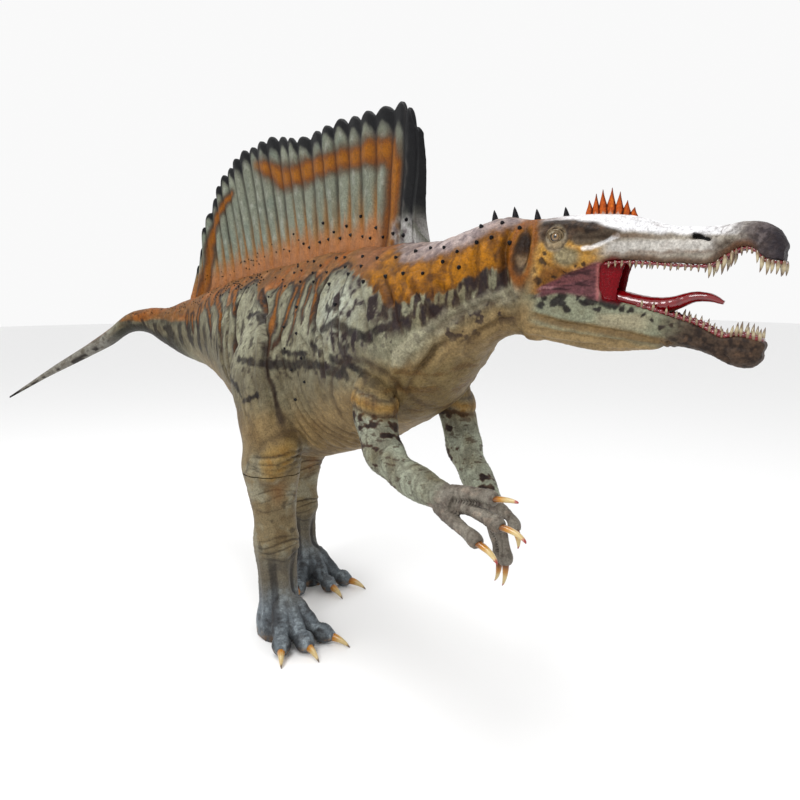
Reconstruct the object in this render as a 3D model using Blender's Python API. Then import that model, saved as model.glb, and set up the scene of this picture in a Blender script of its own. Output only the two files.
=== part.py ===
# A spinosaurus display model, standing with its mouth open and its tail curling behind it.
# Metres, +Z up, +X towards the head, +Y to the animal's left. The origin is on the ground
# under the middle of the model's outer box. Nothing on the model moves.
import math
from collections import namedtuple

import bmesh
import bpy
from mathutils import Matrix, Vector

MODEL_NAME = "spinosaurus_model"
UPWARDS = Vector((0, 0, 1))
SIDEWAYS = Vector((0, 1, 0))
GAP = 0.0004                      # clearance where two pieces touch
HIP_FROM_ORIGIN = (0.19, 0.27, 0)  # the hip line's foot, measured from the model's origin

# The spine seen from above: straight over the trunk, head turned left, tail curling right.
SPINE_FROM_ABOVE = (
    (-2.66, -1.40), (-2.50, -1.00), (-2.25, -0.66), (-1.95, -0.40), (-1.60, -0.20),
    (-1.25, -0.08), (-0.90, -0.02), (-0.50, 0.0), (0.0, 0.0), (0.40, 0.0),
    (0.90, 0.0), (1.10, 0.03), (1.28, 0.085), (1.70, 0.25), (2.15, 0.44), (2.40, 0.545),
)

# Where one body piece ends and the next begins, as distances along the spine from the hip.
TAIL_TIP = -2.84
TAIL_ROOT = -0.75
NECK_ROOT = 0.95
NECK_END = 1.44
SNOUT_TIP = 2.195
JAW_TIP = 2.146

# How each long piece is ringed: how many sides, where the widest line runs as a share of the
# height, and how square the ring is above and below it (2 is round and 4 nearly square).
Section = namedtuple("Section", "sides widest roof floor")
TORSO_SECTION = Section(18, None, 2.0, 2.0)
TAIL_SECTION = Section(14, None, 2.0, 2.0)
SKULL_SECTION = Section(16, 0.38, 2.0, 3.6)
JAW_SECTION = Section(14, 0.62, 3.6, 2.0)
TORSO_RINGS = 15
NECK_RINGS = 9
TAIL_RINGS = 17
SNOUT_START = 1.98                # evenly spaced rings up to here, then the named ones
SNOUT_STATIONS = (2.02, 2.06, 2.095, 2.13, 2.158, 2.18)
CHIN_START = 1.95
CHIN_STATIONS = (1.993, 2.023, 2.066, 2.10, 2.13)
EVEN_HEAD_RINGS = 10
LEG_SIDES = 12
LEG_ROUNDNESS = 0.9               # 1 is an ellipse, and less is squarer
TOE_SIDES = 8
ARM_SIDES = 12
FINGER_SIDES = 8
CLAW_SIDES = 6
SHARP_ANGLE = math.radians(50)

# Outlines of the trunk, neck and tail: (distance along the spine, value).
BACK_HEIGHT = (
    (-2.84, 0.892), (-2.55, 1.083), (-2.26, 1.253), (-2.08, 1.36), (-1.93, 1.453),
    (-1.76, 1.487), (-1.60, 1.49), (-1.42, 1.54), (-1.09, 1.616), (-0.86, 1.661),
    (-0.50, 1.71), (-0.16, 1.747), (0.23, 1.783), (0.72, 1.80), (1.00, 1.80),
    (1.12, 1.833), (1.21, 1.864), (1.29, 1.878), (1.37, 1.866), (1.50, 1.866),
)
BELLY_HEIGHT = (
    (-2.84, 0.880), (-2.56, 1.029), (-2.26, 1.167), (-2.10, 1.24), (-1.94, 1.325),
    (-1.77, 1.33), (-1.60, 1.259), (-1.42, 1.194), (-1.17, 1.15), (-0.90, 1.06),
    (-0.60, 0.93), (-0.30, 0.83), (-0.05, 0.80), (0.12, 0.829), (0.48, 0.929),
    (0.72, 1.035), (0.92, 1.13), (1.03, 1.205), (1.12, 1.31), (1.20, 1.405),
    (1.30, 1.468), (1.44, 1.456),
)
BODY_HALF_WIDTH = (
    (-2.84, 0.006), (-2.56, 0.026), (-2.26, 0.045), (-1.94, 0.068), (-1.60, 0.10),
    (-1.20, 0.15), (-0.90, 0.195), (-0.50, 0.25), (-0.20, 0.27), (0.10, 0.27), (0.40, 0.265),
    (0.70, 0.27), (0.85, 0.265), (0.98, 0.245), (1.08, 0.205), (1.16, 0.162), (1.23, 0.135),
    (1.32, 0.116), (1.44, 0.108),
)
WIDEST_SHARE = (                  # the widest line of trunk, neck and tail
    (-2.84, 0.5), (-1.60, 0.5), (-0.80, 0.46), (0.0, 0.42), (0.90, 0.42), (1.15, 0.5), (1.44, 0.5),
)

# Outlines of the skull with the upper jaw, and of the lower jaw.
SKULL_HEIGHT = (
    (1.44, 1.864), (1.61, 1.869), (1.70, 1.864), (1.77, 1.849), (1.84, 1.828),
    (1.93, 1.817), (1.99, 1.82), (2.06, 1.829), (2.11, 1.826), (2.14, 1.816),
    (2.165, 1.797), (2.185, 1.762), (2.195, 1.728),
)
UPPER_LIP_HEIGHT = (
    (1.44, 1.618), (1.50, 1.645), (1.55, 1.668), (1.62, 1.695), (1.69, 1.712), (1.80, 1.709),
    (1.88, 1.702), (1.97, 1.70), (2.00, 1.716), (2.03, 1.734), (2.057, 1.748),
    (2.085, 1.75), (2.108, 1.738), (2.13, 1.714), (2.195, 1.704),
)
SKULL_HALF_WIDTH = (
    (1.44, 0.108), (1.52, 0.108), (1.60, 0.098), (1.70, 0.074), (1.80, 0.056),
    (1.90, 0.048), (2.00, 0.044), (2.06, 0.048), (2.11, 0.056), (2.155, 0.052),
    (2.18, 0.036), (2.195, 0.018),
)
LOWER_LIP_HEIGHT = (
    (1.44, 1.604), (1.50, 1.619), (1.57, 1.62), (1.64, 1.604), (1.71, 1.592),
    (1.76, 1.58), (1.82, 1.562), (1.89, 1.541), (1.95, 1.521), (1.993, 1.498),
    (2.023, 1.487), (2.066, 1.494), (2.109, 1.484), (2.146, 1.470),
)
THROAT_HEIGHT = (
    (1.44, 1.454), (1.52, 1.438), (1.60, 1.428), (1.66, 1.424), (1.73, 1.428),
    (1.80, 1.438), (1.86, 1.451), (1.92, 1.443), (1.98, 1.427), (2.027, 1.407),
    (2.071, 1.391), (2.11, 1.394), (2.135, 1.419), (2.146, 1.452),
)
JAW_HALF_WIDTH = (
    (1.44, 0.104), (1.55, 0.094), (1.70, 0.068), (1.80, 0.053), (1.90, 0.045),
    (2.00, 0.040), (2.06, 0.045), (2.10, 0.048), (2.13, 0.036), (2.146, 0.016),
)

# The sail's ribs, front to rear: where each tip stands on the spine and how high.
RIB_TIPS = (
    (0.86, 2.22), (0.805, 2.31), (0.73, 2.35), (0.61, 2.352), (0.485, 2.354), (0.36, 2.354),
    (0.25, 2.36), (0.13, 2.348), (0.02, 2.342), (-0.11, 2.335), (-0.22, 2.345), (-0.33, 2.366),
    (-0.45, 2.382), (-0.565, 2.373), (-0.685, 2.36), (-0.78, 2.355), (-0.875, 2.318),
    (-0.95, 2.278), (-1.02, 2.245), (-1.075, 2.185), (-1.125, 2.12), (-1.195, 2.035),
    (-1.235, 1.955), (-1.27, 1.83), (-1.30, 1.74),
)
SAIL_FOOT = (0.90, -1.37)         # where the first and last rib leave the back
RIB_FOOT_DEPTH = 0.05             # how far the ribs reach below the back's outline
SAIL_FOOT_HALF_THICKNESS = 0.040
SAIL_RIM_HALF_THICKNESS = 0.012
RIB_RELIEF = 0.008                # how far a rib stands above the web between ribs
SCALLOP_DEPTH = 0.022
SAIL_LEVELS = (0.0, 0.28, 0.66, 1.0)   # rows up each rib, as shares of its length
SAIL_TAPER = 0.7                  # how fast the sail thins upwards: 1 is evenly
WEB_RISE = 4                      # the web is at its full depth a quarter of the way up
UNDER_SAIL = 0.02                 # how far the torso's cutter runs on past its ends

LegStation = namedtuple("LegStation", "height x y half_length half_width")
RIGHT_LEG = (
    LegStation(1.50, -0.08, -0.17, 0.16, 0.08),
    LegStation(1.36, -0.08, -0.205, 0.22, 0.12),
    LegStation(1.18, -0.06, -0.235, 0.235, 0.145),
    LegStation(1.02, -0.01, -0.25, 0.205, 0.138),
    LegStation(0.90, 0.04, -0.262, 0.158, 0.130),
    LegStation(0.80, 0.07, -0.28, 0.135, 0.132),
    LegStation(0.68, 0.07, -0.275, 0.115, 0.117),
    LegStation(0.54, 0.06, -0.265, 0.102, 0.102),
    LegStation(0.40, 0.05, -0.265, 0.098, 0.100),
    LegStation(0.28, 0.06, -0.262, 0.090, 0.086),
    LegStation(0.16, 0.07, -0.260, 0.098, 0.088),
    LegStation(0.07, 0.09, -0.262, 0.125, 0.108),
    LegStation(0.0, 0.10, -0.265, 0.125, 0.110),
)
LEFT_LEG = (
    LegStation(1.50, -0.10, 0.16, 0.16, 0.08),
    LegStation(1.36, -0.11, 0.19, 0.22, 0.12),
    LegStation(1.18, -0.15, 0.21, 0.225, 0.140),
    LegStation(1.02, -0.21, 0.20, 0.190, 0.130),
    LegStation(0.90, -0.28, 0.17, 0.150, 0.112),
    LegStation(0.80, -0.34, 0.15, 0.126, 0.100),
    LegStation(0.68, -0.40, 0.14, 0.110, 0.092),
    LegStation(0.54, -0.45, 0.137, 0.098, 0.087),
    LegStation(0.40, -0.48, 0.137, 0.092, 0.085),
    LegStation(0.28, -0.49, 0.14, 0.086, 0.080),
    LegStation(0.16, -0.49, 0.15, 0.096, 0.086),
    LegStation(0.07, -0.475, 0.16, 0.122, 0.102),
    LegStation(0.0, -0.465, 0.16, 0.122, 0.104),
)
# Each foot: where its toes leave the shin and reach the ground, the way it points, and
# how far each toe turns from that way, in degrees, from the animal's right to its left.
Foot = namedtuple("Foot", "x y heading spreads")
RIGHT_FOOT = Foot(0.10, -0.265, 0.0, (-26.0, 0.0, 30.0))
LEFT_FOOT = Foot(-0.47, 0.17, 4.0, (-42.0, -2.0, 26.0))
# Down each toe: distance out from the shin's middle, height, half width and half height.
TOE_STATIONS = (
    (0.00, 0.200, 0.042, 0.050), (0.08, 0.150, 0.042, 0.050), (0.145, 0.085, 0.041, 0.045),
    (0.195, 0.052, 0.038, 0.043), (0.24, 0.044, 0.041, 0.044), (0.275, 0.040, 0.033, 0.034),
    (0.288, 0.038, 0.022, 0.024),
)
TOE_CLAW_LENGTH = 0.115
TOE_CLAW_ROOT = 0.006             # how deep the claw starts inside the toe, before it is cut
# Down each toe claw: share of its length, how far it has dropped, and its radius.
TOE_CLAW_SHAPE = (
    (0.0, 0.0, 0.020), (0.3, 0.001, 0.018), (0.6, 0.009, 0.013), (0.85, 0.022, 0.007),
    (1.0, 0.034, 0.0015),
)

# Arms: points down the limb with the radius there, then each finger as wrist to claw root.
LimbPoint = namedtuple("LimbPoint", "x y z radius")
RIGHT_ARM = (
    LimbPoint(0.80, -0.15, 1.30, 0.09),
    LimbPoint(0.87, -0.22, 1.21, 0.09),
    LimbPoint(0.92, -0.24, 1.11, 0.078),
    LimbPoint(0.985, -0.25, 1.02, 0.069),
    LimbPoint(1.075, -0.245, 0.973, 0.063),
    LimbPoint(1.18, -0.225, 0.94, 0.058),
    LimbPoint(1.28, -0.205, 0.918, 0.050),
    LimbPoint(1.345, -0.195, 0.905, 0.040),
)
LEFT_ARM = (
    LimbPoint(0.79, 0.14, 1.28, 0.09),
    LimbPoint(0.82, 0.195, 1.17, 0.084),
    LimbPoint(0.85, 0.205, 1.08, 0.074),
    LimbPoint(0.885, 0.205, 0.98, 0.070),
    LimbPoint(0.94, 0.20, 0.91, 0.064),
    LimbPoint(1.02, 0.19, 0.84, 0.056),
    LimbPoint(1.09, 0.18, 0.78, 0.050),
    LimbPoint(1.13, 0.17, 0.74, 0.042),
)
FINGER_RADII = (0.030, 0.026, 0.026, 0.020)
RIGHT_FINGERS = (
    ((1.31, -0.19, 0.935), (1.39, -0.175, 0.945), (1.455, -0.165, 0.952), (1.50, -0.155, 0.947)),
    ((1.32, -0.19, 0.90), (1.42, -0.18, 0.895), (1.51, -0.175, 0.88), (1.55, -0.17, 0.868)),
    ((1.28, -0.215, 0.885), (1.36, -0.22, 0.855), (1.45, -0.22, 0.828), (1.495, -0.22, 0.807)),
)
RIGHT_CLAW_TIPS = ((1.595, -0.14, 0.955), (1.66, -0.165, 0.843), (1.595, -0.225, 0.768))
LEFT_FINGERS = (
    ((1.10, 0.17, 0.785), (1.18, 0.165, 0.78), (1.24, 0.157, 0.758), (1.265, 0.15, 0.728)),
    ((1.12, 0.18, 0.73), (1.16, 0.178, 0.67), (1.19, 0.17, 0.61), (1.195, 0.165, 0.575)),
    ((1.09, 0.185, 0.72), (1.11, 0.19, 0.65), (1.135, 0.185, 0.60), (1.14, 0.18, 0.565)),
)
LEFT_CLAW_TIPS = ((1.285, 0.145, 0.665), (1.19, 0.155, 0.49), (1.115, 0.18, 0.482))
FINGER_CLAW_RADIUS = 0.0135
FINGER_CLAW_ROOT = 0.006          # how deep the claw starts inside the finger, before it is cut
FINGER_CLAW_SHAPE = ((0.0, 1.0), (0.25, 0.92), (0.5, 0.72), (0.75, 0.45), (1.0, 0.1))
FINGER_CLAW_LEAD = 0.7            # how far it runs straight on before it hooks, of its reach
FINGER_CLAW_HOOK = 1.6            # how late it hooks: 1 is evenly

# Eyes, crest, tongue and teeth.
EYE_ALONG = 1.503
EYE_HEIGHT = 1.795
EYE_SIDE = 0.086
EYE_RADIUS = 0.021
EYE_SEGMENTS = 8
EYE_BANDS = 6
CREST_REAR = 1.565
CREST_FRONT = 1.742
CREST_TIPS = (                    # (along, height) of each flame, rear to front
    (1.577, 1.915), (1.60, 1.935), (1.622, 1.947), (1.653, 1.951),
    (1.68, 1.937), (1.705, 1.909), (1.729, 1.886),
)
CREST_VALLEY = 0.024              # how far the notches drop below the flames
CREST_HALF_THICKNESS = 0.012
CREST_TIP_THICKNESS = 0.2         # of the thickness at its foot
CREST_FOOT_HEIGHT = 1.85
CREST_RISE = 0.10
CREST_ROOT = 0.015                # how far it starts inside the skull, before it is cut
TONGUE_POINTS = (                 # along, height, half width, half thickness
    (1.60, 1.622, 0.034, 0.014), (1.70, 1.607, 0.034, 0.015), (1.80, 1.598, 0.030, 0.014),
    (1.87, 1.600, 0.026, 0.012), (1.93, 1.612, 0.022, 0.010), (1.98, 1.606, 0.016, 0.008),
    (2.015, 1.592, 0.006, 0.004),
)
GUM_HEIGHT = 0.012
GUM_WIDTH = 0.014
GUM_INSET = 0.010                 # the teeth's line stands this far in from the jaw's side
GUM_OVERLAP = 0.006               # the gum starts this far inside the jaw, then is cut back
# Where the gum line bends, back to front, and the teeth: first, last, how many, length.
UPPER_GUM_PLACES = (1.66, 1.75, 1.84, 1.92, 1.97, 2.0, 2.03, 2.06, 2.09, 2.11, 2.135, 2.165)
LOWER_GUM_PLACES = (1.76, 1.82, 1.88, 1.94, 1.993, 2.023, 2.066, 2.09, 2.116)
UPPER_TEETH = ((1.72, 1.95, 10, 0.009), (1.975, 2.045, 4, 0.024), (2.13, 2.175, 3, 0.034))
LOWER_TEETH = ((1.80, 1.85, 3, 0.012), (1.88, 2.01, 7, 0.013), (2.05, 2.125, 4, 0.014))
TOOTH_SIDES = 4
TOOTH_LEAN = 0.15                 # how far a tooth leans forward, of its length
TOOTH_FLARE = 1.08                # how far out its tip stands, of its root's distance
TOOTH_ROOT = 0.003                # its radius is this and a share of its length
TOOTH_STOUTNESS = 0.12
# Where the gum rounds the jaw's tip: distance back from the tip, share of the width there.
GUM_FRONT = ((0.017, 0.72), (0.011, 0.3))
TOP_SPIKES = (1.23, 1.31, 1.395, 1.50)
TOP_SPIKE_HEIGHT = 0.032
TOP_SPIKE_RADIUS = 0.011
TOP_SPIKE_SIDES = 6
TOP_SPIKE_ROOT = 0.012            # how deep it stands in the skin
TOP_SPIKE_LEAN = 0.006            # how far its tip leans back

Finish = namedtuple("Finish", "colour roughness")
FINISHES = {
    "skin": Finish((0.48, 0.45, 0.34), 0.55),
    "head_skin": Finish((0.45, 0.40, 0.32), 0.50),
    "sail_skin": Finish((0.42, 0.43, 0.35), 0.60),
    "limb_skin": Finish((0.40, 0.39, 0.33), 0.55),
    "claw": Finish((0.72, 0.55, 0.26), 0.30),
    "tooth": Finish((0.80, 0.70, 0.50), 0.30),
    "tongue": Finish((0.45, 0.02, 0.05), 0.20),
    "crest": Finish((0.60, 0.20, 0.05), 0.55),
    "eye": Finish((0.35, 0.24, 0.08), 0.08),
}


def material(slot):
    """The Principled material of one finish."""
    found = bpy.data.materials.get(slot)
    if found:
        return found
    finish = FINISHES[slot]
    made = bpy.data.materials.new(slot)
    made.use_nodes = True
    shader = made.node_tree.nodes["Principled BSDF"]
    shader.inputs["Base Color"].default_value = (*finish.colour, 1)
    shader.inputs["Roughness"].default_value = finish.roughness
    made.diffuse_color = (*finish.colour, 1)
    return made


def smooth(knots, at):
    """The value at a place on the smooth curve through (place, value) knots."""
    places = [knot[0] for knot in knots]
    at = min(max(at, places[0]), places[-1])
    low = max(i for i in range(len(knots) - 1) if places[i] <= at + 1e-9)

    def slope(i):
        before, after = max(i - 1, 0), min(i + 1, len(knots) - 1)
        return (knots[after][1] - knots[before][1]) / (places[after] - places[before])

    span = places[low + 1] - places[low]
    t = (at - places[low]) / span
    return (
        (2 * t**3 - 3 * t**2 + 1) * knots[low][1]
        + (t**3 - 2 * t**2 + t) * span * slope(low)
        + (3 * t**2 - 2 * t**3) * knots[low + 1][1]
        + (t**3 - t**2) * span * slope(low + 1)
    )


def rounded_path(points, steps):
    """Points on a Catmull-Rom curve through the given ones."""
    points = [Vector(point) for point in points]
    ends = [2 * points[0] - points[1], *points, 2 * points[-1] - points[-2]]
    path = []
    for a, b, c, d in zip(ends, ends[1:], ends[2:], ends[3:]):
        for step in range(steps):
            t = step / steps
            path.append(
                0.5 * (2 * b + (c - a) * t + (2 * a - 5 * b + 4 * c - d) * t**2
                       + (3 * b - a - 3 * c + d) * t**3)
            )
    path.append(points[-1])
    return path


def measured_spine():
    """The spine's plan curve as (distance from the hip, x) and (distance, y) knots."""
    path = rounded_path([(x, y, 0) for x, y in SPINE_FROM_ABOVE], 12)
    hip = min(range(len(path)), key=lambda i: path[i].length)
    along = [0.0]
    for before, after in zip(path, path[1:]):
        along.append(along[-1] + (after - before).length)
    places = [distance - along[hip] for distance in along]
    return (
        [(place, point.x) for place, point in zip(places, path)],
        [(place, point.y) for place, point in zip(places, path)],
    )


SPINE_X, SPINE_Y = measured_spine()


def on_spine(along, side, height):
    """The point that far along the spine, that far to the animal's left, at that height."""
    ahead = Vector((
        smooth(SPINE_X, along + 0.02) - smooth(SPINE_X, along - 0.02),
        smooth(SPINE_Y, along + 0.02) - smooth(SPINE_Y, along - 0.02),
        0,
    )).normalized()
    left = Vector((-ahead.y, ahead.x, 0))
    return Vector((smooth(SPINE_X, along), smooth(SPINE_Y, along), height)) + left * side


def power(value, exponent):
    return math.copysign(abs(value) ** exponent, value)


def body_ring(along, top, bottom, half_width, section, widest, grow):
    """An upright ring across the spine, grown outwards all round if it is a cutter's."""
    middle = bottom + widest * (top - bottom)
    ring = []
    for side in range(section.sides):
        angle = 2 * math.pi * (side + 0.5) / section.sides
        square = section.roof if math.sin(angle) > 0 else section.floor
        reach = (top - middle) if math.sin(angle) > 0 else (middle - bottom)
        across = (half_width + grow) * power(math.cos(angle), 2 / square)
        height = middle + (reach + grow) * power(math.sin(angle), 2 / square)
        ring.append(on_spine(along, across, height))
    return ring


def rings_at(places, tops, bottoms, half_widths, section, grow=0.0):
    """Rings across the spine at these places, between two outlines."""
    return [
        body_ring(
            along,
            smooth(tops, along),
            smooth(bottoms, along),
            smooth(half_widths, along),
            section,
            section.widest or smooth(WIDEST_SHARE, along),
            grow,
        )
        for along in places
    ]


def even(start, end, count):
    return [start + (end - start) * i / (count - 1) for i in range(count)]


def collection(name):
    found = bpy.data.collections.get(name)
    if not found:
        found = bpy.data.collections.new(name)
        bpy.context.scene.collection.children.link(found)
    return found


def add_object(name, mesh, slot, helper=False):
    """Puts a mesh in the model, or among the hidden shapes that cut and join."""
    made = bpy.data.objects.new(name, mesh)
    if helper:
        made.hide_render = True
        made.display_type = "WIRE"
        collection("cutters").objects.link(made)
    else:
        mesh.materials.append(material(slot))
        collection(MODEL_NAME).objects.link(made)
    made.parent = bpy.data.objects["hip_line_foot"]
    return made


def loft(name, rings, slot=None, helper=False):
    """A closed skin over rings of equal count, with flat caps."""
    shape = bmesh.new()
    loops = [[shape.verts.new(point) for point in ring] for ring in rings]
    count = len(loops[0])
    for first, second in zip(loops, loops[1:]):
        for i in range(count):
            j = (i + 1) % count
            shape.faces.new((first[i], first[j], second[j], second[i]))
    shape.faces.new(reversed(loops[0]))
    shape.faces.new(loops[-1])
    bmesh.ops.triangulate(shape, faces=shape.faces, quad_method="FIXED")
    bmesh.ops.recalc_face_normals(shape, faces=shape.faces)
    mesh = bpy.data.meshes.new(name)
    shape.to_mesh(mesh)
    shape.free()
    made = add_object(name, mesh, slot, helper)
    mesh.shade_smooth()
    mesh.set_sharp_from_angle(angle=SHARP_ANGLE)
    return made


def boolean(target, other, operation):
    change = target.modifiers.new(f"{operation.lower()} {other.name}", "BOOLEAN")
    change.operation = operation
    change.object = other
    change.solver = "EXACT"


def rings_across(centres, sizes, sides, up=UPWARDS):
    """Rings square to a path. Each size is a radius, or (half width, half height)."""
    rings = []
    for i, centre in enumerate(centres):
        before, after = centres[max(i - 1, 0)], centres[min(i + 1, len(centres) - 1)]
        ahead = (after - before).normalized()
        left = up.cross(ahead).normalized()
        above = ahead.cross(left)
        wide, high = sizes[i] if isinstance(sizes[i], tuple) else (sizes[i], sizes[i])
        rings.append([
            centre
            + left * wide * math.cos(2 * math.pi * (side + 0.5) / sides)
            + above * high * math.sin(2 * math.pi * (side + 0.5) / sides)
            for side in range(sides)
        ])
    return rings


def cone(name, base, tip, radius, sides):
    """A helper: a straight cone from the middle of its base to its tip."""
    axis = tip - base
    turned = axis.to_track_quat("Z", "Y").to_matrix().to_4x4()
    shape = bmesh.new()
    bmesh.ops.create_cone(
        shape, cap_ends=True, segments=sides, radius1=radius, radius2=0,
        depth=axis.length, matrix=Matrix.Translation((base + tip) / 2) @ turned,
    )
    mesh = bpy.data.meshes.new(name)
    shape.to_mesh(mesh)
    shape.free()
    return add_object(name, mesh, None, helper=True)


def torso_rings(grow=0.0):
    """The trunk's rings. A grown copy also runs on a little past both ends."""
    places = even(TAIL_ROOT, NECK_ROOT, TORSO_RINGS)
    if grow:
        places = [TAIL_ROOT - UNDER_SAIL, *places, NECK_ROOT + UNDER_SAIL]
    return rings_at(places, BACK_HEIGHT, BELLY_HEIGHT, BODY_HALF_WIDTH, TORSO_SECTION, grow)


def tail_rings(grow=0.0):
    places = even(TAIL_TIP, TAIL_ROOT - GAP + grow, TAIL_RINGS)
    return rings_at(places, BACK_HEIGHT, BELLY_HEIGHT, BODY_HALF_WIDTH, TAIL_SECTION, grow)


def make_torso():
    torso = loft("torso", torso_rings(), "skin")
    for side, stations in (("right", RIGHT_LEG), ("left", LEFT_LEG)):
        rings = leg_rings(stations, grow=GAP)
        boolean(torso, loft(f"{side}_leg_room", rings, helper=True), "DIFFERENCE")
    for side, points in (("right", RIGHT_ARM), ("left", LEFT_ARM)):
        rings = arm_rings(points, grow=GAP)
        boolean(torso, loft(f"{side}_arm_room", rings, helper=True), "DIFFERENCE")


def make_neck():
    places = even(NECK_ROOT + GAP, NECK_END, NECK_RINGS)
    rings = rings_at(places, BACK_HEIGHT, BELLY_HEIGHT, BODY_HALF_WIDTH, TORSO_SECTION)
    neck = loft("neck", rings, "skin")
    for number, along in enumerate(TOP_SPIKES[:-1], 1):
        boolean(neck, top_spike(f"neck_spike_{number}", along, BACK_HEIGHT), "UNION")


def top_spike(name, along, outline):
    """A dark horn on the top line of the neck or skull."""
    foot = on_spine(along, 0, smooth(outline, along) - TOP_SPIKE_ROOT)
    tip = on_spine(along - TOP_SPIKE_LEAN, 0, smooth(outline, along) + TOP_SPIKE_HEIGHT)
    return cone(name, foot, tip, TOP_SPIKE_RADIUS, TOP_SPIKE_SIDES)


def make_tail():
    loft("tail", tail_rings(), "skin")


def skull_rings(grow=0.0):
    back = even(NECK_END + GAP - grow, SNOUT_START, EVEN_HEAD_RINGS)
    places = [*back, *SNOUT_STATIONS, SNOUT_TIP + grow]
    return rings_at(places, SKULL_HEIGHT, UPPER_LIP_HEIGHT, SKULL_HALF_WIDTH, SKULL_SECTION, grow)


def make_head():
    head = loft("head", skull_rings(), "head_skin")
    boolean(head, top_spike("head_spike", TOP_SPIKES[-1], SKULL_HEIGHT), "UNION")
    for side, sign in (("right", -1), ("left", 1)):
        centre = on_spine(EYE_ALONG, sign * EYE_SIDE, EYE_HEIGHT)
        ball(f"{side}_eye", centre, EYE_RADIUS, "eye")
        room = ball(f"{side}_eye_room", centre, EYE_RADIUS + 2 * GAP, helper=True)
        boolean(head, room, "DIFFERENCE")


def ball(name, centre, radius, slot=None, helper=False):
    shape = bmesh.new()
    bmesh.ops.create_uvsphere(
        shape, u_segments=EYE_SEGMENTS, v_segments=EYE_BANDS, radius=radius,
        matrix=Matrix.Translation(centre),
    )
    mesh = bpy.data.meshes.new(name)
    shape.to_mesh(mesh)
    shape.free()
    made = add_object(name, mesh, slot, helper)
    mesh.shade_smooth()
    return made


def jaw_rings(grow=0.0):
    back = even(NECK_END + GAP - grow, CHIN_START, EVEN_HEAD_RINGS)
    places = [*back, *CHIN_STATIONS, JAW_TIP + grow]
    return rings_at(places, LOWER_LIP_HEIGHT, THROAT_HEIGHT, JAW_HALF_WIDTH, JAW_SECTION, grow)


def make_lower_jaw():
    loft("lower_jaw", jaw_rings(), "head_skin")


def make_tongue():
    centres = [on_spine(along, 0, height) for along, height, _, _ in TONGUE_POINTS]
    sizes = [(wide, high) for _, _, wide, high in TONGUE_POINTS]
    tongue = loft("tongue", rings_across(centres, sizes, 10), "tongue")
    boolean(tongue, loft("jaw_under_tongue", jaw_rings(GAP), helper=True), "DIFFERENCE")


def gum_path(places, tip, half_widths):
    """The row of teeth seen from above: up the right side, round the tip, down the left."""
    sides = [smooth(half_widths, along) - GUM_INSET for along in places]
    front = [(tip - back, sides[-1] * share) for back, share in GUM_FRONT]
    row = list(zip(places, sides)) + front
    return [(along, -side) for along, side in row] + [(along, side) for along, side in reversed(row)]


def gum_strip(name, path, lip, way):
    """A strip of square section that hugs the lip line all round the jaw."""
    rings = []
    for i, (along, side) in enumerate(path):
        before, after = path[max(i - 1, 0)], path[min(i + 1, len(path) - 1)]
        ahead = Vector((after[0] - before[0], after[1] - before[1])).normalized()
        out = Vector((ahead.y, -ahead.x)) * GUM_WIDTH / 2
        near = smooth(lip, along) - way * GUM_OVERLAP
        far = smooth(lip, along) + way * GUM_HEIGHT
        rings.append([
            on_spine(along + sign * out.x, side + sign * out.y, height)
            for sign, height in ((1, near), (1, far), (-1, far), (-1, near))
        ])
    return loft(name, rings, "tooth")


def make_teeth(name, path, half_widths, lip, way, groups, jaw):
    """A gum strip with one cone for each tooth, fused to it. way is +1 up and -1 down."""
    strip = gum_strip(name, path, lip, way)
    for first, last, count, length in groups:
        radius = TOOTH_ROOT + TOOTH_STOUTNESS * length
        for along in even(first, last, count):
            for sign in (-1, 1):
                side = sign * (smooth(half_widths, along) - GUM_INSET)
                root = smooth(lip, along)
                foot = on_spine(along, side, root)
                tip = on_spine(
                    along + TOOTH_LEAN * length, side * TOOTH_FLARE,
                    root + way * (GUM_HEIGHT + length),
                )
                boolean(strip, cone(f"{name}_cone", foot, tip, radius, TOOTH_SIDES), "UNION")
    boolean(strip, jaw, "DIFFERENCE")


def make_all_teeth():
    make_teeth(
        "upper_teeth", gum_path(UPPER_GUM_PLACES, SNOUT_TIP, SKULL_HALF_WIDTH),
        SKULL_HALF_WIDTH, UPPER_LIP_HEIGHT, -1, UPPER_TEETH,
        loft("skull_over_teeth", skull_rings(GAP), helper=True),
    )
    make_teeth(
        "lower_teeth", gum_path(LOWER_GUM_PLACES, JAW_TIP, JAW_HALF_WIDTH),
        JAW_HALF_WIDTH, LOWER_LIP_HEIGHT, 1, LOWER_TEETH,
        loft("jaw_under_teeth", jaw_rings(GAP), helper=True),
    )


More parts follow.
